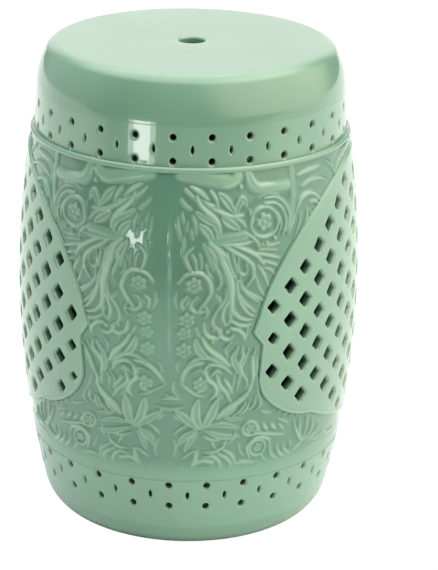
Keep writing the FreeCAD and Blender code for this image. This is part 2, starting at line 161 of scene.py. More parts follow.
def distance_to_path(along: np.ndarray, up: np.ndarray, path: np.ndarray,
                     closed: bool = False) -> tuple[np.ndarray, np.ndarray]:
    """Distance from points to a polyline.

    Args:
        along: Points on the chart.
        up: Their heights.
        path: The polyline's corners.
        closed: True where the last corner joins the first.

    Returns:
        Distances, and each nearest place as a share of the polyline's length.
    """
    starts = path if closed else path[:-1]
    ends = np.roll(path, -1, axis=0) if closed else path[1:]
    lengths = np.linalg.norm(ends - starts, axis=1)
    run = np.concatenate([[0.0], np.cumsum(lengths)])
    best = np.full(along.shape, 1e9)
    share = np.zeros(along.shape)
    for start, end, length, gone in zip(starts, ends, lengths, run):
        if length < 1e-9:
            continue
        way = (end - start) / length
        foot = np.clip((along - start[0]) * way[0] + (up - start[1]) * way[1], 0.0, length)
        gap = np.hypot(along - start[0] - way[0] * foot, up - start[1] - way[1] * foot)
        nearer = gap < best
        best[nearer] = gap[nearer]
        share[nearer] = (gone + foot[nearer]) / run[-1]
    return best, share


def smoothstep(value: np.ndarray, low: float, high: float) -> np.ndarray:
    """Rises smoothly from 0 at low to 1 at high."""
    share = np.clip((value - low) / (high - low), 0.0, 1.0)
    return share * share * (3 - 2 * share)


class Section(Enum):
    """How a modelled stroke is rounded, with its real width as a share of the drawn one."""

    RIDGE = ("rounded ridge", 1.3)
    LEAF = ("leaf with raised edges and a sunk middle", 1.15)
    PAD = ("flat pad with rounded edges", 1.15)

    @property
    def spread(self) -> float:
        """Real width as a share of the drawn width."""
        return self.value[1]


@dataclass(frozen=True)
class Stroke:
    """One raised stroke of the relief.

    Args:
        places: (degrees from the seam, height) that it follows.
        width: Full width in millimetres.
        height: Height over the ground in millimetres.
        section: How it is rounded.
    """

    places: tuple[Place, ...]
    width: float
    height: float = 2.2
    section: Section = Section.RIDGE


@dataclass(frozen=True)
class Flower:
    """A rosette of the relief: petals around an eye, with an optional ring."""

    centre: Place
    radius: float
    petals: int = 5
    ring: float = 0.0
    height: float = 2.2


def ridge(width: float, height: float, *places: Place) -> Stroke:
    """A rounded ridge."""
    return Stroke(places, width, height)


def leaf(width: float, height: float, *places: Place) -> Stroke:
    """A leaf with raised edges."""
    return Stroke(places, width, height, Section.LEAF)


def pad(width: float, height: float, *places: Place) -> Stroke:
    """A flat pad."""
    return Stroke(places, width, height, Section.PAD)


UPPER_SCROLLS = (
    pad(15, 2, (3.6, 385), (10.8, 381), (16.6, 378), (20.5, 377.5), (22.6, 382)),
    ridge(4.5, 2.8, (16.6, 372), (20, 373), (22.6, 377), (23, 382)),
    ridge(5, 3, (27, 385), (28.2, 376), (30.5, 371), (33.3, 370.5), (37, 370)),
    pad(11, 2, (26, 385), (27, 374), (29.5, 369), (33.9, 367.5), (41, 368)),
    pad(9, 1.1, (43.4, 386), (43.6, 374), (43.2, 364), (43.3, 354), (42.3, 342), (40, 328)),
    ridge(4, 2.4, (46, 374), (49.7, 376), (53, 377), (57.6, 378)),
    ridge(4, 2.2, (47.6, 363), (52.2, 367), (57.3, 366), (61, 362)),
    ridge(4, 2.2, (72.4, 378), (69.5, 372), (66.3, 364)),
    ridge(4, 2, (61, 380), (64.5, 374), (66.5, 366)),
    ridge(4, 2, (74, 380), (79, 382), (86, 382)),
    ridge(4.5, 2.6, (44.3, 341), (46.2, 350), (48.9, 355), (52.3, 355), (55.1, 350), (57, 343)),
    ridge(4, 2.2, (51, 346), (53.5, 347), (55.2, 342)),
    ridge(4.5, 2.4, (49.6, 341), (48.8, 332), (46.6, 318)),
    ridge(3.5, 2.2, (51, 339), (51.4, 332), (50.2, 322)),
    ridge(3.5, 2.2, (53, 340), (53.6, 333), (52.6, 326)),
    ridge(4.5, 2.2, (43.9, 339), (42.7, 332), (40.6, 322)),
    ridge(3.5, 2, (46.5, 339), (45.6, 330), (43.2, 316)),
)

ACANTHUS = (
    ridge(4, 2.4, (6.2, 373), (9.5, 368), (12.3, 361)),
    ridge(3.6, 2.6, (13, 369), (14.9, 362), (15.8, 354)),
    ridge(3, 2.2, (4.4, 371), (6.7, 365), (8.5, 360)),
    ridge(4.6, 3, (8.4, 365), (9.9, 356), (12.1, 350), (14.3, 345), (15.9, 338), (16.3, 330)),
    ridge(3.4, 2.2, (10.2, 361), (12.7, 356), (15.2, 355)),
    leaf(7.5, 2.6, (16, 366), (18.2, 360), (20.9, 349)),
    leaf(6.5, 2.6, (21.6, 347), (22.4, 354), (24.1, 360), (25.4, 354)),
    ridge(4.4, 2.4, (12.1, 356), (15.2, 351), (18.4, 346.5), (21, 345), (24, 345)),
    leaf(8.5, 2.6, (16.9, 344), (19.4, 339), (22.6, 333)),
    ridge(3.2, 2.2, (21, 344), (23.3, 340), (25.2, 334)),
    leaf(7, 2.4, (8.4, 349), (12.4, 342), (15.6, 336)),
    ridge(2.6, 2, (7.2, 347), (8.2, 339), (8.4, 330)),
    leaf(7.5, 2.6, (9.6, 338), (12.2, 331), (13.6, 323)),
    ridge(3, 2.2, (13.6, 338), (15.2, 331), (14.9, 324)),
    ridge(2.2, 1.4, (3.6, 350), (3.9, 344), (4.6, 339)),
    ridge(2.2, 1.4, (5.5, 341), (5.4, 332)),
    ridge(2.4, 1.6, (6.6, 334), (7.5, 325)),
    pad(11, 1.6, (15, 323), (20, 325), (24.5, 326)),
    ridge(3, 2.6, (24.5, 329), (27, 325), (29, 319), (29.6, 314)),
    ridge(3, 2.2, (14.5, 320), (20.3, 318.5), (24.2, 318.5), (28.2, 321)),
    ridge(3.2, 2.6, (32, 354), (36.2, 353), (39, 346), (39.8, 335), (38.5, 323)),
    ridge(2.8, 2.4, (32, 359), (36.8, 358), (40.2, 350), (41.4, 339), (40.6, 328)),
    ridge(2.8, 2.4, (35, 349), (37.4, 341), (38, 332), (36.8, 324)),
    ridge(3, 1.8, (29.5, 360), (33, 363), (37.5, 361)),
)

RADIATING_STEMS = (
    ridge(6.5, 3, (12.6, 322), (15.9, 313), (17.3, 303), (18.7, 294), (19.9, 282), (20.2, 267),
          (20.6, 256), (23, 248)),
    leaf(5.5, 2.4, (10.8, 320), (13.2, 309), (14.1, 296)),
    ridge(2.8, 2.2, (12.4, 318), (14.6, 309), (15.4, 300)),
    ridge(3, 2.4, (16.2, 316), (18.1, 308), (18.9, 301)),
    ridge(3.2, 2.4, (18.6, 312), (19.6, 299), (21.2, 288)),
    ridge(2.8, 2.2, (20.3, 311), (21.3, 300), (21.9, 292)),
    ridge(4.2, 2.8, (17.2, 319), (21.6, 311), (25.4, 304), (27.5, 296), (27.2, 286), (25.2, 279)),
    ridge(2.8, 2.4, (22.3, 306), (22.6, 294), (24.2, 289.5), (25.5, 294), (25, 301)),
    ridge(4.2, 2.8, (20, 319), (24.8, 313), (28.8, 306), (31.3, 297)),
    ridge(3.4, 2.4, (28.4, 309), (33.2, 305), (37.2, 301)),
    ridge(3.2, 2.2, (30.4, 301), (33.6, 298), (36.4, 294)),
    ridge(2.8, 2.2, (31.4, 294), (34, 291), (35.2, 286)),
    ridge(3.8, 2.6, (29.2, 297), (31.4, 287), (33, 276)),
    ridge(3.2, 2.4, (28.2, 289), (29.4, 277), (31.6, 267)),
    ridge(3.4, 2.4, (23.2, 290), (23.2, 281), (25.1, 273), (28.1, 268), (31, 263)),
    ridge(3.2, 2.2, (13.2, 307), (15.7, 295), (16.8, 286), (15.6, 277)),
    ridge(2.6, 2.2, (21.5, 289), (22.2, 277), (23.5, 266)),
    ridge(3.2, 2.4, (18.4, 278), (18.2, 269), (16.4, 261), (14.9, 254), (14, 247), (14.7, 241),
          (17.1, 237)),
    ridge(4.2, 2.6, (19.6, 270), (17.9, 259), (17.3, 251), (18.2, 242)),
    ridge(3.2, 2.2, (19.4, 256), (19.9, 249), (18.8, 242)),
    ridge(3.8, 2.6, (21.4, 281), (22.6, 268), (24.2, 258), (26.3, 251), (28, 248.5)),
    ridge(3.2, 2.4, (22.6, 273), (24.8, 262), (27, 256), (28.3, 252)),
    ridge(3.2, 2.4, (23.2, 278), (26.1, 269), (29.4, 262)),
    ridge(3.6, 2.4, (20.7, 259), (21.9, 251), (24.3, 246.5), (27.4, 245)),
    ridge(3.6, 2.4, (19.6, 247), (22.6, 241.5), (25.4, 240), (27, 241)),
    ridge(3, 2.2, (25.8, 242), (25.6, 234), (24.4, 225)),
)

MIDDLE_SCROLLS = (
    ridge(2.6, 2.6, (7.4, 317), (5.1, 310), (5.6, 302), (7.2, 293)),
    ridge(2.2, 2, (6.9, 311), (8.3, 304), (8.6, 295)),
    ridge(2.2, 1.6, (9.5, 312), (10.2, 304), (10.2, 297)),
    ridge(3.8, 2.8, (3, 284), (5.4, 291), (9.6, 293), (12.4, 287), (13.6, 277), (12.3, 268),
          (10.4, 261), (9.2, 256)),
    ridge(3.2, 2.4, (9, 270), (7.4, 266), (7.1, 260), (8.6, 255.5), (11.6, 256)),
    ridge(3.2, 2.2, (5.8, 271), (4.1, 265), (4.5, 258)),
    ridge(2.4, 1.8, (6.6, 269), (5.4, 262)),
    ridge(3.8, 2.6, (11.2, 245), (11.7, 236), (13.1, 231), (15.6, 230), (17, 237)),
    ridge(3.4, 2.6, (15.6, 239), (17.3, 230), (19.3, 228), (21, 232)),
    ridge(4.2, 2.8, (19.8, 238), (22.2, 237), (24.2, 232), (24.9, 226)),
    leaf(7, 2.6, (8.6, 229), (9.6, 219), (12.6, 210)),
    ridge(4.6, 2.8, (10.6, 231), (12.2, 222), (14.4, 215.5), (17, 210), (20.2, 201)),
    ridge(4.2, 2.2, (6.2, 204), (8.9, 209.5), (12.6, 210.5), (16.4, 206), (19.4, 198)),
    ridge(5, 2.6, (4.4, 186), (5.4, 197), (8, 204), (11, 205)),
    ridge(3.8, 2.6, (11.3, 194), (12.7, 202), (15.1, 203.5), (18.3, 200), (20.6, 193)),
    ridge(4.2, 2.8, (12.2, 199), (12.9, 189), (15.2, 183), (15.8, 175), (13.8, 167.5)),
    ridge(3.2, 2.2, (13.8, 191), (15.5, 197.5), (17.3, 194)),
    ridge(3.2, 2.2, (4, 184), (6.6, 178), (9.1, 173), (12, 171)),
    ridge(4.4, 2.6, (15.7, 194), (17, 182), (19.2, 174), (20.6, 165)),
    ridge(4.2, 2.4, (18.2, 188), (19.9, 181), (21.2, 173)),
    leaf(6, 2.6, (23.4, 192), (21.2, 208), (22.6, 219)),
    ridge(3.8, 2.6, (23.6, 194), (23.3, 204), (24.4, 211), (24, 219)),
    ridge(3.6, 2.6, (26.3, 217), (25.3, 207), (23.9, 197), (26.2, 184), (25.6, 176)),
    ridge(4.4, 2.8, (28.8, 216), (27.8, 206), (28, 196), (28.2, 185), (26.9, 176)),
    ridge(3.2, 2, (29.2, 206), (29.6, 197), (29.4, 189)),
    ridge(3.2, 2.2, (24.2, 197), (23.4, 185), (22.8, 175)),
    ridge(3, 2, (21.8, 194), (21.6, 184), (21, 176)),
    ridge(4.4, 2.6, (28, 178), (25.8, 171), (22.7, 164), (18.8, 157), (16.2, 148)),
    ridge(3.2, 1.8, (29.8, 188), (30.4, 173), (31.8, 158)),
    ridge(4, 1.8, (-4, 160), (-1.8, 158), (1.7, 158.5), (5, 160.5)),
    ridge(4.6, 2.2, (-2.6, 168), (0.6, 169.5), (3.6, 168)),
)

FILLING = (
    ridge(3, 1.6, (3, 362), (4.6, 356), (6.8, 352)),
    ridge(2.6, 1.5, (2.2, 345), (2.6, 334), (3.4, 324)),
    ridge(2.6, 1.4, (4.2, 327), (4.6, 318), (4, 309)),
    leaf(4.5, 1.8, (26.4, 349), (27.4, 341), (26.2, 333)),
    ridge(3, 1.8, (29, 312), (32.8, 311), (36.2, 309)),
    ridge(3, 1.8, (30.5, 316), (33.8, 314.5), (37.4, 315)),
    ridge(2.6, 1.6, (12, 303), (12.2, 294), (13.8, 288)),
    ridge(2.8, 1.6, (14.8, 272), (16.6, 264), (16.2, 270)),
    ridge(2.6, 1.6, (2.2, 275), (1.9, 267), (2.8, 259)),
    ridge(2.8, 1.8, (11.6, 262), (12.4, 254), (11, 250)),
    ridge(3, 1.8, (20.2, 225), (18.4, 218), (19.4, 210)),
    ridge(3, 1.8, (8.6, 241), (9.2, 236), (10, 231)),
    ridge(2.8, 1.6, (3.2, 208), (2.6, 201), (3.4, 195)),
    ridge(2.8, 1.8, (7.2, 195), (10, 198), (12.2, 196)),
    ridge(3, 1.8, (8, 176), (11.4, 177), (12.8, 182)),
    leaf(5, 2, (18, 168), (16.4, 174), (17.2, 180)),
    ridge(2.8, 1.8, (1.8, 188), (1.6, 178), (3, 171)),
    leaf(5, 2, (18.6, 150), (20.8, 146), (25, 145)),
    ridge(3, 1.8, (22.8, 132), (22.4, 125), (20.8, 120)),
    ridge(3, 1.8, (2, 126), (2.6, 116), (1.8, 107)),
    ridge(3, 1.8, (2.8, 99), (4.8, 94), (3.4, 88)),
    ridge(3, 1.8, (24.6, 118), (25.2, 110), (27, 104)),
    ridge(3, 1.8, (33.6, 104), (34.4, 98), (36.6, 94)),
    ridge(3, 1.8, (44, 128), (42.6, 133), (39, 138)),
    ridge(2.8, 1.6, (56.6, 103), (60.6, 101), (66, 103)),
)

LOWER_FAN = (
    leaf(9.5, 2.8, (11, 138), (9.2, 150), (9.6, 167)),
    leaf(9, 2.8, (11.8, 139), (14, 150), (16.4, 168)),
    leaf(8, 2.6, (10, 138), (6.6, 146), (2.6, 156)),
    leaf(7, 2.4, (9.2, 136), (5.6, 129), (3.2, 119)),
    leaf(6, 2.4, (9.6, 133), (7.4, 124), (5.6, 113)),
    ridge(3.4, 2.2, (6.6, 142), (4, 137), (1.8, 131)),
    ridge(3.2, 2, (1.6, 153), (3.4, 146)),
    leaf(6, 2.4, (12.6, 140), (18.4, 140.5), (24, 136)),
    leaf(6, 2.4, (12.4, 135), (18.5, 128), (24.4, 127)),
    ridge(3.6, 2.2, (11.6, 129), (15.3, 125), (19, 126)),
    ridge(4.4, 2.4, (9.8, 114), (9.4, 105), (8.2, 97)),
    ridge(3.4, 2.4, (4.8, 105), (7.2, 111), (9.4, 114)),
    ridge(3.8, 2.4, (12, 112), (15.5, 112), (18.8, 117), (20, 123)),
    ridge(3.2, 2, (14.7, 124), (16, 116)),
    pad(6.5, 2.2, (8.5, 99), (11.4, 103), (15.2, 101)),
    ridge(4.2, 2.4, (12, 107), (15.6, 107), (17.9, 100), (18.3, 90)),
    ridge(4.2, 2.4, (17.1, 110), (20.4, 104), (21.9, 97), (20.7, 89)),
    ridge(3.8, 2.2, (18.7, 114), (22.4, 106), (23.6, 95)),
    leaf(6.5, 2.2, (4.6, 89), (9.4, 93), (14.5, 94)),
    ridge(4.2, 2.4, (22.8, 97), (26.7, 98.5), (31, 95.5)),
    ridge(4.2, 2.2, (23.4, 88), (28.5, 89.5), (34.6, 89)),
    ridge(3.6, 2.6, (16.4, 147), (20.7, 157), (24.7, 165), (27.6, 175)),
    ridge(3.2, 2.4, (19.2, 150), (21.4, 154), (23.4, 161)),
    ridge(3.2, 2.4, (21.4, 149), (24, 154), (26.1, 162)),
    ridge(3.2, 2.4, (24, 149), (26.2, 155), (27.4, 163)),
    ridge(3.2, 2.4, (27.2, 154), (29.2, 159), (29.6, 167)),
    ridge(3, 2.2, (29.4, 152), (31.4, 157), (31.6, 164)),
    ridge(2.8, 2, (31.5, 151), (33.9, 148), (36, 147)),
    ridge(2.8, 2, (38.6, 145), (39.8, 149.5)),
    ridge(2.8, 2, (41.4, 140), (42.4, 146)),
    ridge(2.8, 2, (44.2, 137), (44.8, 142)),
    ridge(2.8, 2, (47, 135.5), (47.3, 139)),
    ridge(3.2, 2.4, (25.4, 132), (28.2, 126.5), (31.8, 127), (36.7, 123.5), (42, 120)),
    ridge(4.2, 2.6, (30.4, 137), (31.9, 130)),
    ridge(4.2, 2.6, (33, 136), (35, 129)),
    ridge(4.2, 2.6, (36.2, 134.5), (38.4, 128)),
    ridge(3.6, 2.2, (39.6, 132), (42, 126)),
    ridge(3.6, 2.6, (28.9, 101), (27.6, 113), (29.7, 121), (32.9, 122.5), (36, 118), (36.6, 110)),
    ridge(4, 2.4, (36.8, 110), (37.7, 101), (40.7, 94)),
    ridge(4, 2.4, (39.6, 109), (41.2, 100), (44.4, 94)),
    ridge(3.6, 2.2, (42.4, 109), (43.6, 101), (46.6, 96)),
    ridge(3.2, 2.2, (45.4, 110), (46.4, 103)),
    ridge(3.8, 2.4, (51, 106), (48, 119), (46.3, 131)),
    ridge(3.8, 2.4, (51.4, 107), (49.6, 120), (49, 133)),
    ridge(3.8, 2.4, (52, 107), (53.2, 120), (52.6, 132)),
    ridge(3.8, 2.4, (53, 105), (56, 114), (56.2, 125)),
    ridge(3.6, 2.2, (54, 103), (59, 108), (61, 116)),
    ridge(3.4, 2.2, (47, 98), (50.8, 104), (53.1, 108)),
    ridge(3.6, 2, (50, 92), (58, 95), (66, 93)),
    ridge(3.4, 1.8, (64, 104), (69, 99), (76, 98)),
    ridge(3.4, 1.8, (70, 91), (78, 92), (86, 91)),
)

STROKES = UPPER_SCROLLS + ACANTHUS + RADIATING_STEMS + MIDDLE_SCROLLS + FILLING + LOWER_FAN

FLOWERS = (
    Flower((31.8, 337.0), 9.0, 5, 14.0, 2.4),
    Flower((7.8, 281.5), 8.0, 6, 0.0, 2.4),
    Flower((5.7, 248.0), 7.8, 6),
    Flower((4.9, 235.0), 6.8, 5),
    Flower((4.8, 218.0), 8.0, 6),
    Flower((10.4, 184.0), 8.0, 6, 0.0, 2.4),
    Flower((28.2, 133.5), 5.5, 5, 7.4, 2.2),
    Flower((31.8, 111.5), 5.5, 5, 8.2, 2.2),
    Flower((23.6, 371.0), 2.4, 1),
    Flower((35.6, 320.0), 2.2, 1),
    Flower((32.5, 317.0), 2.0, 1),
    Flower((18.9, 235.5), 2.6, 1),
    Flower((14.2, 226.0), 2.2, 1),
    Flower((14.4, 238.0), 2.0, 1),
)


@dataclass
class Relief:
    """A height field on a net of chart points, in millimetres over the side arc.

    Args:
        along: Chart distances from the seam, one row of the net after another.
        up: Heights of the same points.
        cell: Spacing of the net.
        ground: Level of the plain ground.
    """

    along: np.ndarray
    up: np.ndarray
    cell: float
    ground: float = GROUND
    raised: np.ndarray = field(init=False)

    def __post_init__(self) -> None:
        """Starts from a plain ground."""
        self.raised = np.zeros(self.along.shape)

    def _near(self, path: np.ndarray, reach: float) -> np.ndarray:
        """Marks the points that lie around a path."""
        low = path.min(axis=0) - reach
        high = path.max(axis=0) + reach
        return ((self.along > low[0]) & (self.along < high[0])
                & (self.up > low[1]) & (self.up < high[1]))

    def _lift(self, near: np.ndarray, height: np.ndarray) -> None:
        """Raises marked points to at least a height."""
        self.raised[near] = np.maximum(self.raised[near], height)

    def stroke(self, item: Stroke) -> None:
        """Models one stroke."""
        path = smooth_path([chart_of(place) for place in item.places])
        near = self._near(path, item.width)
        if not near.any():
            return
        gap, share = distance_to_path(self.along[near], self.up[near], path)
        taper = np.clip(np.sin(math.pi * (0.06 + 0.88 * share)), 0.0, 1.0)
        half = item.width * item.section.spread / 2
        if item.section is Section.PAD:
            across = np.clip(gap / half, 0.0, 1.0)
            shape = 1 - smoothstep(across, 0.3, 1.0)
        elif item.section is Section.LEAF:
            tip, middle = 0.12, 0.42
            across = np.clip(gap / (half * (tip + (1 - tip) * taper ** 0.8)), 0.0, 1.0)
            hollow = middle + (1 - middle) * smoothstep(across, 0.15, 0.7)
            shape = hollow * (1 - across ** 6)
        else:
            tip, low_end = 0.3, 0.55
            across = np.clip(gap / (half * (tip + (1 - tip) * taper ** 0.6)), 0.0, 1.0)
            shape = (1 - across ** 2) ** 0.85 * (low_end + (1 - low_end) * taper ** 0.5)
        self._lift(near, item.height * shape)

    def flower(self, item: Flower) -> None:
        """Models one rosette: eye, petals and ring."""
        centre = np.array(chart_of(item.centre))
        near = self._near(centre[None, :], max(item.radius, item.ring) + 3.0)
        if not near.any():
            return
        across = self.along[near] - centre[0]
        upward = self.up[near] - centre[1]
        radius = np.hypot(across, upward)
        turn = np.arctan2(upward, across)
        share = np.clip(radius / item.radius, 0.0, 1.0)
        if item.petals == 1:
            self._lift(near, item.height * np.sqrt(np.clip(1 - share ** 2, 0.0, 1.0)))
            return
        first_turn, notch, hollow, eye_share, ring_half_width = 0.6, 0.70, 0.45, 0.24, 1.9
        petal = np.abs(np.cos(item.petals * (turn - first_turn) / 2))
        rim = np.clip(share / (notch + (1 - notch) * petal), 0.0, 1.0)
        blade = (hollow + (1 - hollow) * smoothstep(rim, 0.35, 0.85)) * (1 - rim ** 8)
        blade *= hollow + (1 - hollow) * smoothstep(petal, 0.08, 0.5)
        eye = np.sqrt(np.clip(1 - (share / eye_share) ** 2, 0.0, 1.0))
        self._lift(near, item.height * np.maximum(blade, 0.95 * eye))
        if item.ring:
            band = np.clip(np.abs(radius - item.ring) / ring_half_width, 0.0, 1.0)
            self._lift(near, item.height * (1 - band ** 2) ** 0.85)

    def seam(self, along: np.ndarray) -> None:
        """Leaves the mould's thin ridge along the seam, worn away at both ends."""
        half_width, height = 1.7, 1.3
        worn = smoothstep(self.up, 200.0, 225.0) * (1 - smoothstep(self.up, 335.0, 355.0))
        patchy = 0.6 + 0.4 * np.sin(self.up / 7.0) * np.sin(self.up / 17.0)
        crest = np.clip(1 - (along / half_width) ** 2, 0.0, 1.0)
        self.raised = np.maximum(self.raised, height * worn * patchy * crest)

    def finish(self) -> np.ndarray:
        """Fades the relief out above the lower bead and softens it as glaze does.

        Returns:
            Heights over the side arc.
        """
        fade_from, fade_to, fade_height, softness = 104.0, 86.0, 1.6, 0.55
        rise = 1 - smoothstep(self.up, fade_to, fade_from)
        level = self.ground + np.maximum(self.raised * (1 - 0.35 * rise), fade_height * rise)
        reach = max(1, int(round(softness / self.cell)))
        steps = np.arange(-2 * reach, 2 * reach + 1) * self.cell
        weights = np.exp(-0.5 * (steps / softness) ** 2)
        weights /= weights.sum()
        for axis in (0, 1):
            padding = [(0, 0), (0, 0)]
            padding[axis] = (2 * reach, 2 * reach)
            padded = np.pad(level, padding, mode="edge")
            level = sum(weight * np.take(padded, range(k, k + level.shape[axis]), axis=axis)
                        for k, weight in enumerate(weights))
        return level


@dataclass(frozen=True)
class PanelOutline:
    """Outline of a lattice panel, seen square from its side, in millimetres from its middle."""

    circle: float = 143.0
    circle_height: float = 229.0
    spring: float = 247.0
    tip: Place = (144.5, 233.0)
    waist: Place = (139.5, 220.0)
    cheek_height: float = 184.0
    cheek_radius: float = 50.0
    cusp: Place = (93.0, 138.0)
    foot: float = 113.0

    @staticmethod
    def _arc(start: Place, end: Place, radius: float, count: int) -> list[Place]:
        """Points of the arc that bulges to the right of the way from start to end."""
        a = np.array(start)
        b = np.array(end)
        chord = b - a
        outward = np.array([chord[1], -chord[0]]) / np.linalg.norm(chord)
        inward = math.sqrt(radius ** 2 - (np.linalg.norm(chord) / 2) ** 2)
        centre = (a + b) / 2 - outward * inward
        first = math.atan2(*(a - centre)[::-1])
        last = math.atan2(*(b - centre)[::-1])
        if last < first:
            last += 2 * math.pi
        return [(centre[0] + radius * math.cos(t), centre[1] + radius * math.sin(t))
                for t in np.linspace(first, last, count)]

    def chart(self, middle: float) -> np.ndarray:
        """The outline on the chart, counter-clockwise.

        Args:
            middle: Degrees from the front seam to the panel's middle.

        Returns:
            Chart points.
        """
        reach = math.sqrt(self.circle ** 2 - (self.spring - self.circle_height) ** 2)
        drop = self.cusp[1] - self.foot
        bowl = (self.cusp[0] ** 2 + drop ** 2) / (2 * drop)
        cheek = (self.waist[0], self.cheek_height)
        corners = self._arc((-self.cusp[0], self.cusp[1]), self.cusp, bowl, 60)
        corners += self._arc(self.cusp, cheek, self.cheek_radius, 24)
        corners += [self.waist, self.tip]
        corners += self._arc((reach, self.spring), (-reach, self.spring), self.circle, 120)
        corners += [(-self.tip[0], self.tip[1]), (-self.waist[0], self.waist[1])]
        corners += self._arc((-cheek[0], cheek[1]), (-self.cusp[0], self.cusp[1]),
                             self.cheek_radius, 24)
        flat = np.array(corners)
        turn = np.arcsin(flat[:, 0] / BARREL.side(flat[:, 1]))
        chart = np.stack([CHART * (turn + math.radians(middle)), flat[:, 1]], axis=1)
        kept = [k for k in range(len(chart))
                if np.linalg.norm(chart[k] - chart[k - 1]) > 0.05]
        return chart[kept]


OUTLINE = PanelOutline()


def inside_polygon(along: np.ndarray, up: np.ndarray, corners: np.ndarray) -> np.ndarray:
    """Tells which points lie inside a polygon."""
    inside = np.zeros(along.shape, dtype=bool)
    for (x0, y0), (x1, y1) in zip(corners, np.roll(corners, -1, axis=0)):
        if y0 == y1:
            continue
        crosses = (y0 > up) != (y1 > up)
        inside ^= crosses & (along < x0 + (up - y0) * (x1 - x0) / (y1 - y0))
    return inside


def beyond_outline(along: np.ndarray, up: np.ndarray, corners: np.ndarray) -> np.ndarray:
    """Distance from the panel outline, positive outside the panel."""
    gap, _ = distance_to_path(along, up, corners, closed=True)
    return np.where(inside_polygon(along, up, corners), -gap, gap)


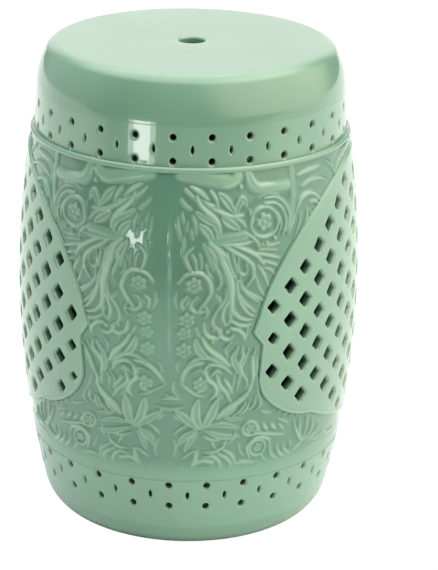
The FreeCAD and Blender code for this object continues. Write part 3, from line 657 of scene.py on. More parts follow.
@dataclass
class Skin:
    """A pierced clay wall on a regular net over the chart.

    Args:
        name: Name of the piece.
        along: First and last chart distance.
        up: Lowest and highest height.
        cell: Spacing of the net in millimetres.
        clay: Distance to the nearest hole or border, positive in the clay.
        outer: Outer radius at chart points.
        inner: Inner radius over the height.
        closed: True where the net goes all the way round.
        lip: Rounding of the holes' outer edges in millimetres.
        height: Relief over the outer radius, on the net.
        coarse_inside: True to give the inside a wide net of its own.
    """

    name: str
    along: tuple[float, float]
    up: tuple[float, float]
    cell: float
    clay: Field
    outer: Field
    inner: Callable[[np.ndarray], np.ndarray]
    closed: bool = False
    lip: float = 1.5
    height: Optional[HeightField] = None
    coarse_inside: bool = False

    def _net(self) -> tuple[np.ndarray, np.ndarray]:
        """Lays the regular net."""
        columns = max(3, round((self.along[1] - self.along[0]) / self.cell))
        rows = max(2, round((self.up[1] - self.up[0]) / self.cell))
        along = np.linspace(*self.along, columns + 1)
        if self.closed:
            along = along[:-1]
        return np.meshgrid(along, np.linspace(*self.up, rows + 1))

    def _snap(self, along: np.ndarray, up: np.ndarray) -> tuple[np.ndarray, np.ndarray]:
        """Pulls the points that lie next to an edge of the clay onto it."""
        step = 0.2 * self.cell
        window = 0.6 * self.cell
        least_steep = 0.3
        for _ in range(2):
            gap = self.clay(along, up)
            slope_along = (self.clay(along + step, up) - self.clay(along - step, up)) / (2 * step)
            slope_up = (self.clay(along, up + step) - self.clay(along, up - step)) / (2 * step)
            steep = np.maximum(slope_along ** 2 + slope_up ** 2, least_steep)
            move = np.where(np.abs(gap) < window, -gap / steep, 0.0)
            shift_along = move * slope_along
            shift_up = move * slope_up
            shift_up[0] = shift_up[-1] = 0.0
            if not self.closed:
                shift_along[:, 0] = shift_along[:, -1] = 0.0
            along = along + shift_along
            up = up + shift_up
        return along, up

    def _faces(self, along: np.ndarray, up: np.ndarray,
               gap: np.ndarray) -> list[tuple[int, ...]]:
        """Keeps the faces that lie in the clay."""
        rows, columns = along.shape
        index = np.arange(rows * columns).reshape(rows, columns)
        if self.closed:
            right = np.roll(index, -1, axis=1)
            corners = [index[:-1], right[:-1], right[1:], index[1:]]
        else:
            corners = [index[:-1, :-1], index[:-1, 1:], index[1:, 1:], index[1:, :-1]]
        quads = np.stack([corner.ravel() for corner in corners], axis=1)
        flat_gap = gap.ravel()
        slack = 0.1 * self.cell
        void = flat_gap[quads] < -slack
        edge_only = (np.abs(flat_gap[quads]) < slack).all(axis=1)
        faces = []
        flat_along = along.ravel()
        flat_up = up.ravel()
        wrap = self.along[1] - self.along[0]

        def middle_gap(rows_of: np.ndarray) -> np.ndarray:
            """Distance to the clay's edge from the middle of faces."""
            spots = flat_along[rows_of]
            if self.closed:
                spots = np.where(spots < spots.max(axis=1, keepdims=True) - wrap / 2,
                                 spots + wrap, spots)
            return self.clay(spots.mean(axis=1), flat_up[rows_of].mean(axis=1))

        keep = void.sum(axis=1) == 0
        if edge_only.any():
            keep[edge_only] &= middle_gap(quads[edge_only]) > 0
        faces += [tuple(row) for row in quads[keep].tolist()]
        single = void.sum(axis=1) == 1
        triangles = [[corner for corner, empty in zip(row, holes) if not empty]
                     for row, holes in zip(quads[single].tolist(), void[single].tolist())]
        if triangles:
            triangles = np.array(triangles)
            solid = middle_gap(triangles) > -0.02
            faces += [tuple(row) for row in triangles[solid].tolist()]
        return faces

    def build(self) -> bpy.types.Object:
        """Builds the wall as a closed mesh.

        Returns:
            The new object.
        """
        net_along, net_up = self._net()
        along, up = self._snap(net_along, net_up)
        gap = self.clay(along, up)
        faces = self._faces(along, up, gap)
        relief = np.zeros(along.shape)
        if self.height is not None:
            relief = self.height(net_along, net_up, self.cell)
        share = np.clip(1 - gap / self.lip, 0.0, 1.0)
        drop = self.lip * (1 - np.sqrt(1 - 0.96 * share ** 2))
        radius = self.outer(along, up) + relief - drop
        used = np.unique(np.concatenate([np.array(face) for face in faces]))
        new_index = np.full(along.size, -1)
        new_index[used] = np.arange(len(used))
        front = [tuple(int(new_index[k]) for k in face) for face in faces]
        along, up, radius, gap, share, relief = (
            values.ravel()[used] for values in (along, up, radius, gap, share, relief))
        lips = share * (gap < self.lip)
        border = open_edges(front, len(used))
        if self.coarse_inside:
            flat = np.stack([along, up], axis=1)
            back_points, back_faces, border_back = self._wide_net(flat, border, len(used))
        else:
            back_points = on_barrel(along, up, self.inner(up))
            back_faces = [tuple(k + len(used) for k in reversed(face)) for face in front]
            border_back = {k: k + len(used) for k in range(len(used))}
        sides = [(b, a, border_back[a], border_back[b]) for a, b in border
                 if border_back[a] != border_back[b]]
        sides += [(b, a, border_back[a]) for a, b in border if border_back[a] == border_back[b]]
        points = np.vstack([on_barrel(along, up, radius), back_points])
        extra = len(points) - len(used)
        # The inside's points get the inside bloom value, which paints them and the holes' walls
        # dark as painted shade.
        return make_piece(self.name, points, front + back_faces + sides,
                          {"bloom": np.concatenate([relief, np.full(extra, INSIDE_SHADE_BLOOM)]),
                           "lip": np.concatenate([lips, np.zeros(extra)])})

    def _wide_net(self, flat: np.ndarray, border: list[tuple[int, int]], offset: int
                  ) -> tuple[np.ndarray, list[tuple[int, ...]], dict[int, int]]:
        """Fills the inside with wide triangles that share the border's points.

        Args:
            flat: Chart points of the outer skin.
            border: Its open edges.
            offset: Index of the first point of the inside.

        Returns:
            Points, faces that look inwards, and the border's points on the inside.
        """
        rim = sorted({k for edge in border for k in edge})
        order = {k: n for n, k in enumerate(rim)}
        points = [Vector(flat[k]) for k in rim]
        edges = [(order[a], order[b]) for a, b in border]
        spacing = 12.0
        ticks = [np.arange(low + spacing / 2, high - 5, spacing)
                 for low, high in (self.along, self.up)]
        spots_along, spots_up = np.meshgrid(*ticks)
        free = self.clay(spots_along, spots_up) > spacing / 2
        points += [Vector(spot) for spot in zip(spots_along[free], spots_up[free])]
        within_border = 1
        result = geometry.delaunay_2d_cdt(points, edges, [], within_border, 1e-6)
        corners = np.array([[point.x, point.y] for point in result[0]])
        faces = []
        for face in result[2]:
            a, b, c = (corners[k] for k in face[:3])
            area = (b[0] - a[0]) * (c[1] - a[1]) - (b[1] - a[1]) * (c[0] - a[0])
            corner_list = [offset + k for k in face]
            faces.append(tuple(reversed(corner_list)) if area > 0 else tuple(corner_list))
        back = {rim[source]: offset + k for k, sources in enumerate(result[3])
                for source in sources if source < len(rim)}
        points_in = on_barrel(corners[:, 0], corners[:, 1], self.inner(corners[:, 1]))
        return points_in, faces, back


def open_edges(faces: list[tuple[int, ...]], count: int) -> list[tuple[int, int]]:
    """Finds the edges that only one face uses, in that face's direction."""
    starts = np.concatenate([np.array(face) for face in faces])
    ends = np.concatenate([np.array(face[1:] + face[:1]) for face in faces])
    forward = starts.astype(np.int64) * count + ends
    backward = ends.astype(np.int64) * count + starts
    lonely = ~np.isin(forward, backward)
    return list(zip(starts[lonely].tolist(), ends[lonely].tolist()))


def add_marks(mesh: bpy.types.Mesh, marks: dict[str, np.ndarray]) -> None:
    """Stores values for the glaze on a mesh, one for each point."""
    for label, values in marks.items():
        layer = mesh.attributes.new(label, "FLOAT", "POINT")
        layer.data.foreach_set("value", np.asarray(values, dtype=np.float32))


def make_piece(name: str, points: np.ndarray, faces: list[tuple[int, ...]],
               marks: dict[str, np.ndarray]) -> bpy.types.Object:
    """Makes a smooth-shaded object from points in metres.

    Args:
        name: Object name.
        points: One row for each point.
        faces: Point indices, seen counter-clockwise from outside.
        marks: Values for the glaze, one for each point.

    Returns:
        The new object.
    """
    mesh = bpy.data.meshes.new(name)
    mesh.from_pydata(points.tolist(), [], faces)
    mesh.validate()
    add_marks(mesh, marks)
    mesh.shade_smooth()
    mesh.set_sharp_from_angle(angle=math.radians(62.0))
    mesh.update()
    piece = bpy.data.objects.new(name, mesh)
    bpy.context.scene.collection.objects.link(piece)
    return piece


def half_turn(piece: bpy.types.Object, name: str) -> bpy.types.Object:
    """Copies a piece to the opposite side of the stool."""
    mesh = piece.data.copy()
    mesh.name = name
    mesh.transform(Matrix.Rotation(math.pi, 4, "Z"))
    copy = bpy.data.objects.new(name, mesh)
    bpy.context.scene.collection.objects.link(copy)
    return copy


def only(piece: bpy.types.Object) -> None:
    """Selects one object alone and makes it active."""
    for other in bpy.context.selected_objects:
        other.select_set(False)
    piece.select_set(True)
    bpy.context.view_layer.objects.active = piece


def spun(name: str, profile: Sequence[Place]) -> bpy.types.Object:
    """Spins a closed profile around the stool's axis.

    Args:
        name: Object name.
        profile: (radius, height) corners in millimetres.

    Returns:
        The new object, with its faces outwards.
    """
    mesh = bpy.data.meshes.new(name)
    points = [(radius * MM, 0.0, height * MM) for radius, height in profile]
    count = len(points)
    mesh.from_pydata(points, [(k, (k + 1) % count) for k in range(count)], [])
    piece = bpy.data.objects.new(name, mesh)
    bpy.context.scene.collection.objects.link(piece)
    only(piece)
    bpy.ops.object.mode_set(mode="EDIT")
    bpy.ops.mesh.select_all(action="SELECT")
    bpy.ops.mesh.spin(steps=192, angle=2 * math.pi, center=(0, 0, 0), axis=(0, 0, 1))
    bpy.ops.mesh.select_all(action="SELECT")
    bpy.ops.mesh.remove_doubles(threshold=1e-6)
    bpy.ops.mesh.normals_make_consistent(inside=False)
    bpy.ops.object.mode_set(mode="OBJECT")
    mesh.shade_smooth()
    mesh.set_sharp_from_angle(angle=math.radians(35.0))
    return piece


def arc_points(centre: Place, radius: float, first: float, last: float,
               count: int) -> list[Place]:
    """Points of an arc in a profile, from first to last degrees from the radius axis."""
    return [(centre[0] + radius * math.cos(t), centre[1] + radius * math.sin(t))
            for t in np.radians(np.linspace(first, last, count))]


class Graph:
    """Shader nodes of one material or world.

    Args:
        owner: Material or world that gets the nodes.
    """

    def __init__(self, owner: bpy.types.ID) -> None:
        """Turns the owner's nodes on."""
        owner.use_nodes = True
        self.tree = owner.node_tree

    def set(self, node: bpy.types.Node, inputs: dict[str | int, object]) -> None:
        """Fills a node's inputs.

        Args:
            node: The node.
            inputs: For each input its value, or the output that feeds it.
        """
        for label, value in inputs.items():
            if isinstance(value, bpy.types.NodeSocket):
                self.tree.links.new(value, node.inputs[label])
            else:
                node.inputs[label].default_value = value

    def add(self, kind: str, inputs: Optional[dict[str | int, object]] = None,
            **settings: str) -> bpy.types.NodeOutputs:
        """Adds a node.

        Args:
            kind: Type of the node, without the words that all types share.
            inputs: For each input its value, or the output that feeds it.
            settings: Properties of the node.

        Returns:
            The node's outputs.
        """
        node = self.tree.nodes.new(f"ShaderNode{kind}")
        for label, value in settings.items():
            setattr(node, label, value)
        self.set(node, inputs or {})
        return node.outputs

    def ranged(self, value: bpy.types.NodeSocket, span: Place, result: Place = (0.0, 1.0),
               **settings: str) -> bpy.types.NodeSocket:
        """Maps a span of values onto another."""
        limits = {"From Min": span[0], "From Max": span[1], "To Min": result[0],
                  "To Max": result[1]}
        return self.add("MapRange", {"Value": value, **limits}, **settings)["Result"]

    def mixed(self, share: float | bpy.types.NodeSocket, first: object, second: object,
              blend: str = "MIX") -> bpy.types.NodeSocket:
        """Mixes two colours."""
        return self.add("Mix", {"Factor": share, "A": first, "B": second}, data_type="RGBA",
                        blend_type=blend)["Result"]


def opaque(colour: Colour) -> tuple[float, float, float, float]:
    """Adds full opacity to a colour."""
    return (*colour, 1.0)


@dataclass(frozen=True)
class Celadon:
    """Glossy green glaze that pools dark in hollows and breaks pale on ridges, with painted shade
    on the inside and in the holes.

    Args:
        name: Material name.
        pooled: Colour where the glaze lies thick.
        body: Colour of a plain wall.
        thin: Colour on ridges.
        bare: Colour of the clay that shows at the holes' lips.
        body_share: Place of the plain wall between the ground and the ridges' crests.
        crest: Height in millimetres of the ridges' crests.
        cloud: Least and greatest brightness of the clouds in the glaze.
        cloud_scale: Fineness of the clouds.
        unlit: Brightness of the glaze on the inside.
        lip_from: Nearness to a hole's lip where the clay starts to show.
        lip_share: How much clay shows on the lip itself.
        ripple_scale: Fineness of the ripples in the surface.
        ripple_height: Their height in metres.
    """

    name: str = "celadon_glaze"
    pooled: Colour = (0.12, 0.275, 0.192)
    body: Colour = (0.185, 0.365, 0.255)
    thin: Colour = (0.32, 0.52, 0.385)
    bare: Colour = (0.56, 0.54, 0.42)
    body_share: float = 0.45
    crest: float = 1.1
    cloud: Place = (0.92, 1.08)
    cloud_scale: float = 9.0
    # unlit: Brightness of the painted shade on the inside and on the holes' walls.
    unlit: float = 0.25
    lip_from: float = 0.75
    lip_share: float = 0.75
    ripple_scale: float = 55.0
    ripple_height: float = 0.0008

    def _colour(self, graph: Graph, place: bpy.types.NodeSocket) -> bpy.types.NodeSocket:
        """Colours the glaze by its depth, with faint clouds, painted shade on the inside and worn
        lips.
        """
        bloom = graph.add("Attribute", attribute_name="bloom")["Fac"]
        lip = graph.add("Attribute", attribute_name="lip")["Fac"]
        level = graph.ranged(bloom, (GROUND, self.crest))
        tone = graph.add("ValToRGB", {"Fac": level})["Color"]
        stops = tone.node.color_ramp.elements
        stops[0].color = opaque(self.pooled)
        stops[1].color = opaque(self.thin)
        stops.new(self.body_share).color = opaque(self.body)
        cloud = graph.add("TexNoise", {"Vector": place, "Scale": self.cloud_scale,
                                       "Detail": 4.0})["Fac"]
        # Painted shade: points of the inside, and the holes' walls towards them, are darkened
        # down to the unlit brightness; the clouds are the glaze's own uneven tone.
        depth = graph.ranged(bloom, (INSIDE_SHADE_BLOOM, INSIDE_SHADE_BLOOM + 6.0), (self.unlit, 1.0))
        shade = graph.add("Math", {0: graph.ranged(cloud, (0.3, 0.7), self.cloud), 1: depth},
                          operation="MULTIPLY")["Value"]
        clouded_and_shaded = graph.mixed(1.0, tone, shade, "MULTIPLY")
        worn = graph.ranged(lip, (self.lip_from, 1.0), (0.0, self.lip_share))
        return graph.mixed(worn, clouded_and_shaded, opaque(self.bare))

    def build(self) -> bpy.types.Material:
        """Builds the node material."""
        material = bpy.data.materials.new(self.name)
        graph = Graph(material)
        place = graph.add("TexCoord")["Object"]
        ripple = graph.add("TexNoise", {"Vector": place, "Scale": self.ripple_scale,
                                        "Detail": 2.0})["Fac"]
        normal = graph.add("Bump", {"Height": ripple, "Strength": 0.10,
                                    "Distance": self.ripple_height})["Normal"]
        graph.set(graph.tree.nodes["Principled BSDF"], {
            "Base Color": self._colour(graph, place), "Normal": normal, "Coat Normal": normal,
            "Roughness": 0.22, "IOR": 1.5, "Coat Weight": 1.0, "Coat Roughness": 0.03,
            "Coat IOR": 1.6})
        return material


def dress(piece: bpy.types.Object, material: bpy.types.Material, slot: str,
          *nodes: str) -> bpy.types.Object:
    """Gives a piece its glaze, its place in the frame and the nodes that it stands for."""
    piece.data.materials.clear()
    piece.data.materials.append(material)
    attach(piece, "root")
    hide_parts(*nodes)
    triangles = sum(len(face.vertices) - 2 for face in piece.data.polygons)
    LOG.info("%s: %d triangles, stands for %s", piece.name, triangles, ", ".join(nodes))
    return piece


def mark_plain(piece: bpy.types.Object, level: float = -0.4) -> None:
    """Gives a spun piece an even glaze."""
    count = len(piece.data.vertices)
    add_marks(piece.data, {"bloom": np.full(count, level), "lip": np.zeros(count)})


@dataclass
class Seat:
    """The flat seat with its rounded shoulder and finger hole, in millimetres.

    Args:
        flat: Radius at which the flat top ends.
        edge: Rounding of the top's edge.
        shoulder: Rounding of the shoulder below it.
        meeting: Slope in degrees where both roundings meet.
        hole: Radius of the finger hole.
        rounding: Rounding of its edges.
    """

    flat: float = 125.8
    edge: float = 14.0
    shoulder: float = 74.15
    meeting: float = 29.7
    hole: float = 12.25
    rounding: float = 2.6

    def build(self, glaze: bpy.types.Material) -> None:
        """Spins the seat."""
        top = BARREL.top
        foot = BARREL.band_to
        wall = BARREL.wall
        tall_centre = (BARREL.band_top - self.shoulder, foot)
        edge_centre = (self.flat, top - self.edge)
        profile = [(BARREL.band_top - wall, foot)]
        profile += arc_points(tall_centre, self.shoulder, 0.0, self.meeting, 24)
        profile += arc_points(edge_centre, self.edge, self.meeting, 90.0, 26)[1:]
        profile += [(radius, top) for radius in (110.0, 80.0, 50.0, 28.0)]
        lip = (self.hole + self.rounding, top - self.rounding)
        profile += arc_points(lip, self.rounding, 90.0, 180.0, 9)
        low = (lip[0], top - wall + self.rounding)
        profile += arc_points(low, self.rounding, 180.0, 270.0, 7)
        profile += [(60.0, top - wall)]
        inner_edge = self.edge - wall
        profile += arc_points(edge_centre, inner_edge, 90.0, self.meeting, 10)
        profile += arc_points(tall_centre, self.shoulder - wall, self.meeting, 0.0, 12)[1:-1]
        piece = spun("seat_glazed", profile)
        mark_plain(piece)
        dress(piece, glaze, "glaze", "seat")


@dataclass
class Bands:
    """The pierced bands at both ends of the barrel.

    Args:
        holes: Number of holes round each row.
        round_hole: Radius of a round hole in millimetres.
        slit_half_width: Half the width of a pointed slit.
        slit_half_length: Half its length.
        upper_rows: Heights of the upper band's rows.
        lower_rows: Heights of the lower band's rows.
        lip: Rounding of the holes' edges.
    """

    holes: int = 26
    round_hole: float = 3.4
    slit_half_width: float = 1.8
    slit_half_length: float = 4.5
    upper_rows: tuple[float, float, float] = (417.0, 405.4, 394.6)
    lower_rows: tuple[float, float, float] = (75.0, 63.8, 51.8)
    lip: float = 1.3

    def clay(self, rows: tuple[float, float, float]) -> Field:
        """Distance to the nearest hole of a band.

        Args:
            rows: Heights of the rows, round holes, slits and round holes.

        Returns:
            The distance as a function of the chart.
        """
        pitch = 2 * math.pi * CHART / self.holes
        bow = (self.slit_half_length ** 2 + self.slit_half_width ** 2) / (
            2 * self.slit_half_width)

        def distance(along: np.ndarray, up: np.ndarray) -> np.ndarray:
            """Distance from chart points, negative inside a hole."""
            whole = along - pitch * np.round(along / pitch)
            between = along - pitch * (np.floor(along / pitch) + 0.5)
            gaps = [np.hypot(whole, up - rows[0]) - self.round_hole,
                    np.hypot(whole, up - rows[2]) - self.round_hole]
            aside = np.abs(between)
            level = up - rows[1]
            arc = np.hypot(aside + bow - self.slit_half_width, level) - bow
            tip = np.hypot(aside, np.abs(level) - self.slit_half_length)
            gaps.append(np.where(np.abs(level) < self.slit_half_length, arc, tip))
            return np.minimum.reduce(gaps)

        return distance

    def build(self, glaze: bpy.types.Material) -> None:
        """Builds both bands."""
        span = (0.0, 2 * math.pi * CHART)
        upper = Skin("upper_band_glazed", span, (BARREL.band_from, BARREL.band_to), 0.92,
                     self.clay(self.upper_rows), lambda along, up: BARREL.band(up),
                     lambda up: BARREL.band(up) - BARREL.wall, closed=True, lip=self.lip)
        lower = Skin("lower_band_glazed", span, (BARREL.foot, BARREL.wall_from), 1.08,
                     self.clay(self.lower_rows), lambda along, up: BARREL.side(up),
                     BARREL.inside, closed=True, lip=self.lip)
        dress(upper.build(), glaze, "glaze", "upper_band")
        dress(lower.build(), glaze, "glaze", "lower_band")


@dataclass
class Mouldings:
    """The beads at both ends of the wall, and the foot ring.

    Args:
        bead: Height of a bead in millimetres.
        upper_crest: How far the upper bead stands over the side arc.
        lower_crest: How far the lower bead does.
        root: How far under the side arc a bead's edges lie.
        tread: Width of the flat ring that the stool stands on.
    """

    bead: float = 5.0
    upper_crest: float = 1.1
    lower_crest: float = 0.05
    root: float = 0.35
    tread: float = 8.0

    def bead_profile(self, foot: float, crest: float) -> list[Place]:
        """Profile of a bead that swells to a crest over the side arc."""
        count = 15
        levels = np.linspace(foot, foot + self.bead, count)
        swell = np.sin(np.linspace(0.0, math.pi, count)) ** 0.9
        outer = BARREL.side(levels) - self.root + (crest + self.root) * swell
        profile = list(zip(outer.tolist(), levels.tolist()))
        back = [(float(BARREL.side(np.array(level))) - BARREL.depth, level)
                for level in (foot + self.bead, foot)]
        return profile + back

    def build(self, glaze: bpy.types.Material) -> None:
        """Spins the beads and the foot ring."""
        for name, foot, crest, level in (
                ("upper_bead", BARREL.band_from - self.bead, self.upper_crest, -0.2),
                ("lower_bead", BARREL.wall_from, self.lower_crest, -0.3)):
            bead = spun(f"{name}_glazed", self.bead_profile(foot, crest))
            mark_plain(bead, level)
            dress(bead, glaze, "glaze", name)
        slope = (BARREL.belly_height - BARREL.foot) / BARREL.arc
        level = math.sqrt(1 - slope ** 2)
        radius = BARREL.foot / (1 - slope)
        axis = float(BARREL.side(np.array(BARREL.foot))) - radius * level
        wall = BARREL.wall + BARREL.depth
        lean = -math.degrees(math.asin(slope))
        profile = arc_points((axis, radius), radius, -90.0, lean, 26)
        profile += arc_points((axis, radius), radius - wall, lean, -90.0, 14)
        profile += [(axis - self.tread, wall), (axis - self.tread, 0.0)]
        foot = spun("foot_ring_glazed", profile)
        mark_plain(foot)
        dress(foot, glaze, "foot", "foot_ring")


@dataclass
class ReliefWalls:
    """The moulded wall halves, each as two quarters with foliage in relief."""

    cell: float = 0.8
    rim: float = 4.0

    @staticmethod
    def ornament_axis(up: np.ndarray) -> np.ndarray:
        """Degrees by which the left foliage's mirror line leaves the seam."""
        return np.interp(up, (110.0, 150.0, 184.0, 214.0, 290.0, 330.0),
                         (-1.2, 0.0, 1.6, -1.1, -1.2, -2.0))

    def relief(self, left: bool) -> HeightField:
        """The height field of a quarter.

        Args:
            left: True for the quarter to the left of a seam.

        Returns:
            A function of the net.
        """
        def heights(along: np.ndarray, up: np.ndarray, cell: float) -> np.ndarray:
            """Models all the strokes and flowers on one net."""
            place = along
            if left:
                place = 2 * CHART * np.radians(self.ornament_axis(up)) - along
            field_ = Relief(place, up, cell)
            field_.seam(along)
            for item in STROKES:
                field_.stroke(item)
            for item in FLOWERS:
                field_.flower(item)
            return field_.finish()

        return heights

    def dress_quarter(self, piece: bpy.types.Object, glaze: bpy.types.Material, quarter: str,
                      half: str) -> None:
        """Glazes a quarter that stands for half a wall and its foliage."""
        sprigs = [f"{quarter}_{kind}" for kind in ("foliage", "upper_rosette", "middle_rosette",
                                                   "lower_rosette")]
        dress(piece, glaze, "glaze", f"{half}_wall", *sprigs)

    def build(self, glaze: bpy.types.Material) -> None:
        """Builds the four quarters, the back ones as half-turn copies of the front ones."""
        quarter = math.pi / 2 * CHART
        for name, opposite, left, half, other in (
                ("front_right", "back_left", False, "right", "left"),
                ("front_left", "back_right", True, "left", "right")):
            outline = OUTLINE.chart(-90.0 if left else 90.0)
            span = (-quarter, 0.0) if left else (0.0, quarter)

            def clay(along: np.ndarray, up: np.ndarray,
                     corners: np.ndarray = outline) -> np.ndarray:
                """Distance from the panel's rim, negative under it."""
                return beyond_outline(along, up, corners) - self.rim

            skin = Skin(f"{name}_relief", span, (BARREL.wall_from, BARREL.band_from), self.cell,
                        clay, lambda along, up: BARREL.side(up), BARREL.inside, lip=0.5,
                        height=self.relief(left), coarse_inside=True)
            piece = skin.build()
            self.dress_quarter(piece, glaze, name, half)
            self.dress_quarter(half_turn(piece, f"{opposite}_relief"), glaze, opposite, other)


@dataclass
class LatticePanels:
    """The pierced lattice panels and the raised rims around them, in millimetres.

    Args:
        columns: Number of columns of diamonds.
        column_angle: Degrees from one column to the next.
        pitch: Height from one diamond to the next in a column.
        datum: Height of a diamond in the columns that aren't staggered.
        width: Width of a diamond.
        length: Length of a diamond.
        rounding: Rounding of its corners.
        margin: Clay that stays between a diamond and the panel's edge.
        least: Size, as a share of the full one, under which a diamond is left out.
        cell: Spacing of the net.
        tuck: How far the panel goes on under its rim.
        seed: Seed of the unevenness from hand cutting.
        section: The rim's profile: (distance from the panel, height over the side arc).
    """

    columns: int = 18
    column_angle: float = 6.45
    pitch: float = 32.2
    datum: float = 239.0
    width: float = 13.5
    length: float = 15.5
    rounding: float = 1.8
    margin: float = 3.0
    least: float = 0.4
    cell: float = 1.15
    tuck: float = 1.6
    seed: int = 7
    section: tuple[Place, ...] = (
        (0.0, -1.5), (0.0, -0.05), (0.6, 0.25), (1.4, 0.55), (2.1, 0.6), (2.8, 0.3),
        (3.4, -0.5), (3.9, -1.5), (4.0, -2.4), (4.0, -3.4), (0.0, -3.4))

    def holes(self) -> list[tuple[float, float, float, float, float]]:
        """The hand-cut diamonds: (along, up, half width, half length, lean in radians)."""
        chooser = np.random.default_rng(self.seed)
        border = OUTLINE.chart(0.0)
        holes = []
        low = math.floor((OUTLINE.foot - self.datum) / self.pitch)
        high = math.ceil((OUTLINE.circle + OUTLINE.circle_height - self.datum) / self.pitch)
        for column in range(-self.columns // 2, self.columns // 2):
            along = CHART * math.radians((column + 0.5) * self.column_angle)
            stagger = 0.5 if column % 2 else 0.0
            for level in range(low, high + 1):
                up = self.datum + (level + stagger) * self.pitch
                uneven = chooser.uniform(-1.0, 1.0, 5)
                spot = (np.array([along]), np.array([up]))
                room = -beyond_outline(*spot, border)[0]
                share = min(1.0, (room - self.margin) / (self.width / 2))
                if share < self.least:
                    continue
                holes.append((along + 0.5 * uneven[0], up + 0.6 * uneven[1],
                              self.width / 2 * share * (1 + 0.06 * uneven[2]),
                              self.length / 2 * share * (1 + 0.06 * uneven[3]),
                              math.radians(5.0) * uneven[4]))
        return holes

    def clay(self, middle: float) -> Field:
        """Distance to the nearest hole or to the panel's border."""
        outline = OUTLINE.chart(middle)
        centre = CHART * math.radians(middle)
        holes = self.holes()
        reach = (12.0, 13.0)

        def distance(along: np.ndarray, up: np.ndarray) -> np.ndarray:
            """Distance from chart points, negative in a hole and beyond the border."""
            gap = self.tuck - beyond_outline(along, up, outline)
            for hole_along, hole_up, half_width, half_length, lean in holes:
                aside = along - centre - hole_along
                level = up - hole_up
                near = (np.abs(aside) < reach[0]) & (np.abs(level) < reach[1])
                if not near.any():
                    continue
                aside = aside[near]
                level = level[near]
                turned_aside = np.abs(aside * math.cos(lean) + level * math.sin(lean))
                turned_level = np.abs(level * math.cos(lean) - aside * math.sin(lean))
                round_off = self.rounding * min(1.0, half_width / 6.0)
                w = half_width - round_off * 0.9
                h = half_length - round_off * 0.9
                slant = math.hypot(w, h)
                across = (turned_aside * h + turned_level * w - w * h) / slant
                run = (turned_aside * w - turned_level * h + h * h) / slant
                past = np.maximum(np.maximum(-run, run - slant), 0.0)
                shape = np.where(past > 0, np.hypot(np.maximum(across, 0.0), past), across)
                gap[near] = np.minimum(gap[near], shape - round_off)
            return gap

        return distance

    def rim(self, name: str, middle: float) -> bpy.types.Object:
        """Builds the raised rim as a swept bead."""
        outline = OUTLINE.chart(middle)
        before = outline - np.roll(outline, 1, axis=0)
        after = np.roll(outline, -1, axis=0) - outline
        normals = []
        for way_in, way_out in zip(before, after):
            a = np.array([way_in[1], -way_in[0]]) / np.linalg.norm(way_in)
            b = np.array([way_out[1], -way_out[0]]) / np.linalg.norm(way_out)
            outward = float(way_in[0] * way_out[1] - way_in[1] * way_out[0]) > 0
            least_mitre = 1.6 if outward else 0.35
            normals.append((a + b) / max(1.0 + float(a @ b), least_mitre))
        normals = np.array(normals)
        rings = []
        for offset, height in self.section:
            ring = outline + normals * offset
            rings.append(on_barrel(ring[:, 0], ring[:, 1], BARREL.side(ring[:, 1]) + height))
        count = len(outline)
        points = np.vstack(rings)
        faces = []
        for k in range(len(self.section)):
            a, b = k * count, ((k + 1) % len(self.section)) * count
            for n in range(count):
                m = (n + 1) % count
                faces.append((a + n, b + n, b + m, a + m))
        bloom = np.repeat([0.1 if height > 0 else -0.6 for _, height in self.section], count)
        return make_piece(name, points, faces, {"bloom": bloom, "lip": np.zeros(len(points))})

    def build(self, glaze: bpy.types.Material) -> None:
        """Builds the right panel and its rim, and the left ones as half-turn copies."""
        half = CHART * math.radians(66.0)
        middle = CHART * math.radians(90.0)
        skin = Skin("right_lattice_glazed", (middle - half, middle + half),
                    (OUTLINE.foot - 2.0, OUTLINE.circle + OUTLINE.circle_height + 2.0),
                    self.cell, self.clay(90.0), lambda along, up: BARREL.side(up) - 0.05,
                    BARREL.inside, lip=1.6)
        for piece, kind in ((skin.build(), "lattice"),
                            (self.rim("right_panel_rim_glazed", 90.0), "panel_rim")):
            dress(piece, glaze, "glaze", f"right_{kind}")
            dress(half_turn(piece, f"left_{kind}_glazed"), glaze, "glaze", f"left_{kind}")


@dataclass(frozen=True)
class Lamp:
    """One studio light.

    Args:
        name: Lamp name.
        place: Position in metres.
        target: Point that it faces.
        size: Width and height in metres.
        power: Watts.
        mirror_only: True for a card that is seen only in the glaze.
        diffuse_only: True for a lamp that the glaze doesn't mirror.
    """

    name: str
    place: tuple[float, float, float]
    target: tuple[float, float, float]
    size: tuple[float, float]
    power: float
    mirror_only: bool = False
    diffuse_only: bool = False

    def build(self) -> None:
        """Hangs the lamp."""
        light = bpy.data.lights.new(self.name, "AREA")
        light.shape = "RECTANGLE"
        light.size, light.size_y = self.size
        light.energy = self.power
        lamp = bpy.data.objects.new(self.name, light)
        lamp.location = self.place
        way = Vector(self.target) - Vector(self.place)
        lamp.rotation_euler = way.to_track_quat("-Z", "Y").to_euler()
        lamp.visible_camera = False
        lamp.visible_diffuse = not self.mirror_only
        lamp.visible_glossy = not self.diffuse_only
        bpy.context.scene.collection.objects.link(lamp)


LAMPS = (
    Lamp("front_fill", (0.1, -1.2, 2.2), (0.0, 0.0, 0.3), (1.6, 1.6), 5.5, diffuse_only=True),
    Lamp("streak_wide", (-0.62, -1.19, 0.157), (0.0, 0.0, 0.157), (0.46, 0.078), 0.36,
         mirror_only=True),
    Lamp("streak_narrow", (-0.61, -1.18, 0.157), (0.0, 0.0, 0.157), (0.27, 0.066), 0.27,
         mirror_only=True),
)


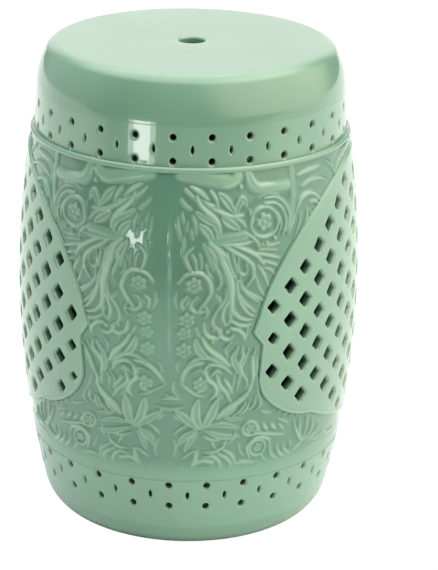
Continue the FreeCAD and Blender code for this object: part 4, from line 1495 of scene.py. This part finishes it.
@dataclass(frozen=True)
class Glow:
    """A soft round area of light in the studio's surroundings.

    Args:
        azimuth: Degrees round from the front, positive to the right.
        elevation: Degrees above the floor.
        inner: Radius in degrees of the full light.
        outer: Radius in degrees at which the light ends.
        colour: Added light.
    """

    azimuth: float
    elevation: float
    inner: float
    outer: float
    colour: Colour

    def direction(self) -> tuple[float, float, float]:
        """The way from the stool to the light."""
        turn = math.radians(self.azimuth)
        level = math.cos(math.radians(self.elevation))
        return (math.sin(turn) * level, -math.cos(turn) * level,
                math.sin(math.radians(self.elevation)))


GLOWS = (
    Glow(180.0, 84.0, 18.0, 60.0, (1.95, 1.92, 1.82)),
    Glow(186.0, 17.0, 14.0, 38.0, (0.78, 0.76, 0.73)),
    Glow(78.0, 22.0, 24.0, 66.0, (1.35, 1.22, 0.95)),
    Glow(-100.0, 15.0, 10.0, 55.0, (0.40, 0.45, 0.43)),
)


@dataclass(frozen=True)
class Studio:
    """Camera, floor, world and lamps.

    Args:
        camera_place: Position in metres.
        camera_turn: Rotation in degrees.
        lens: Focal length in millimetres.
        ambient: Light from all round.
        cloth_pale: Colour of the floor round the stool.
        cloth_dark: Colour of the floor in front.
        cloth_edge: Where, in metres behind the stool's axis, dark turns to pale.
        white_strength: Brightness of the floor's white.
        white_share: How much of that white covers the floor's own look for the camera.
        dark_radius: Radius in metres, under the stool, without that white.
    """

    camera_place: tuple[float, float, float] = (0.24472, -2.26864, 1.04416)
    camera_turn: tuple[float, float, float] = (70.2267, -1.0257, 5.7687)
    lens: float = 155.79
    ambient: Colour = (0.17, 0.19, 0.185)
    cloth_pale: Colour = (0.68, 0.74, 0.75)
    cloth_dark: Colour = (0.10, 0.11, 0.11)
    cloth_edge: Place = (-1.5, -0.6)
    white_strength: float = 1.06
    white_share: float = 0.94
    dark_radius: float = 0.1

    def camera(self) -> None:
        """Stands the camera at the photograph's viewpoint."""
        data = bpy.data.cameras.new("camera")
        data.sensor_width = 36.0
        data.sensor_fit = "AUTO"
        data.lens = self.lens
        data.clip_end = 50.0
        camera = bpy.data.objects.new("camera", data)
        camera.location = self.camera_place
        camera.rotation_euler = [math.radians(angle) for angle in self.camera_turn]
        bpy.context.scene.collection.objects.link(camera)
        bpy.context.scene.camera = camera

    def floor(self) -> None:
        """Lays a pale floor that the camera sees white, with the stool's shadow."""
        bpy.ops.mesh.primitive_circle_add(vertices=96, radius=6.0, fill_type="NGON",
                                          location=(0.0, 0.0, -0.0002))
        floor = bpy.context.object
        floor.name = "studio_floor"
        material = bpy.data.materials.new("studio_floor")
        graph = Graph(material)
        place = graph.add("TexCoord")["Object"]
        depth = graph.add("SeparateXYZ", {"Vector": place})["Y"]
        sweep = graph.ranged(depth, self.cloth_edge, interpolation_type="SMOOTHSTEP")
        paint = graph.tree.nodes["Principled BSDF"]
        graph.set(paint, {"Roughness": 0.8, "Base Color": graph.mixed(
            sweep, opaque(self.cloth_dark), opaque(self.cloth_pale))})
        white = graph.add("Emission", {"Strength": self.white_strength})["Emission"]
        reach = graph.add("VectorMath", {0: place}, operation="LENGTH")["Value"]
        beside = graph.add("Math", {0: reach, 1: self.dark_radius}, operation="GREATER_THAN")
        seen = graph.add("LightPath")["Is Camera Ray"]
        for factor in (beside["Value"], self.white_share):
            seen = graph.add("Math", {0: seen, 1: factor}, operation="MULTIPLY")["Value"]
        surface = graph.add("MixShader", {"Fac": seen, 1: paint.outputs["BSDF"], 2: white})
        graph.set(graph.tree.nodes["Material Output"], {"Surface": surface["Shader"]})
        floor.data.materials.append(material)

    def world(self) -> None:
        """Gives soft light from all round, and white behind the stool."""
        world = bpy.data.worlds.new("studio")
        bpy.context.scene.world = world
        graph = Graph(world)
        soft = graph.tree.nodes["Background"]
        way = graph.add("TexCoord")["Generated"]
        light = graph.add("RGB")[0]
        light.default_value = opaque(self.ambient)
        for glow in GLOWS:
            facing = graph.add("VectorMath", {0: way, 1: glow.direction()},
                               operation="DOT_PRODUCT")["Value"]
            limits = tuple(math.cos(math.radians(angle)) for angle in (glow.outer, glow.inner))
            share = graph.ranged(facing, limits, interpolation_type="SMOOTHERSTEP")
            tint = graph.mixed(share, opaque((0.0, 0.0, 0.0)), opaque(glow.colour))
            light = graph.mixed(1.0, light, tint, "ADD")
        graph.set(soft, {"Color": light})
        rays = graph.add("LightPath")["Is Camera Ray"]
        white = graph.add("Background")["Background"]
        surface = graph.add("MixShader", {"Fac": rays, 1: soft.outputs["Background"], 2: white})
        graph.set(graph.tree.nodes["World Output"], {"Surface": surface["Shader"]})

    def build(self) -> None:
        """Sets up the whole studio."""
        self.camera()
        self.floor()
        self.world()
        for lamp in LAMPS:
            lamp.build()
        bpy.context.scene.view_settings.view_transform = "Standard"


def main() -> None:
    """Builds the studio and the stool's pieces in order."""
    logging.basicConfig(level=logging.INFO, format="%(name)s: %(message)s")
    for item in bpy.context.selected_objects:
        item.select_set(False)
    Studio().build()
    glaze = Celadon().build()
    Seat().build(glaze)
    Mouldings().build(glaze)
    Bands().build(glaze)
    LatticePanels().build(glaze)
    ReliefWalls().build(glaze)


if __name__ == "__main__":
    main()
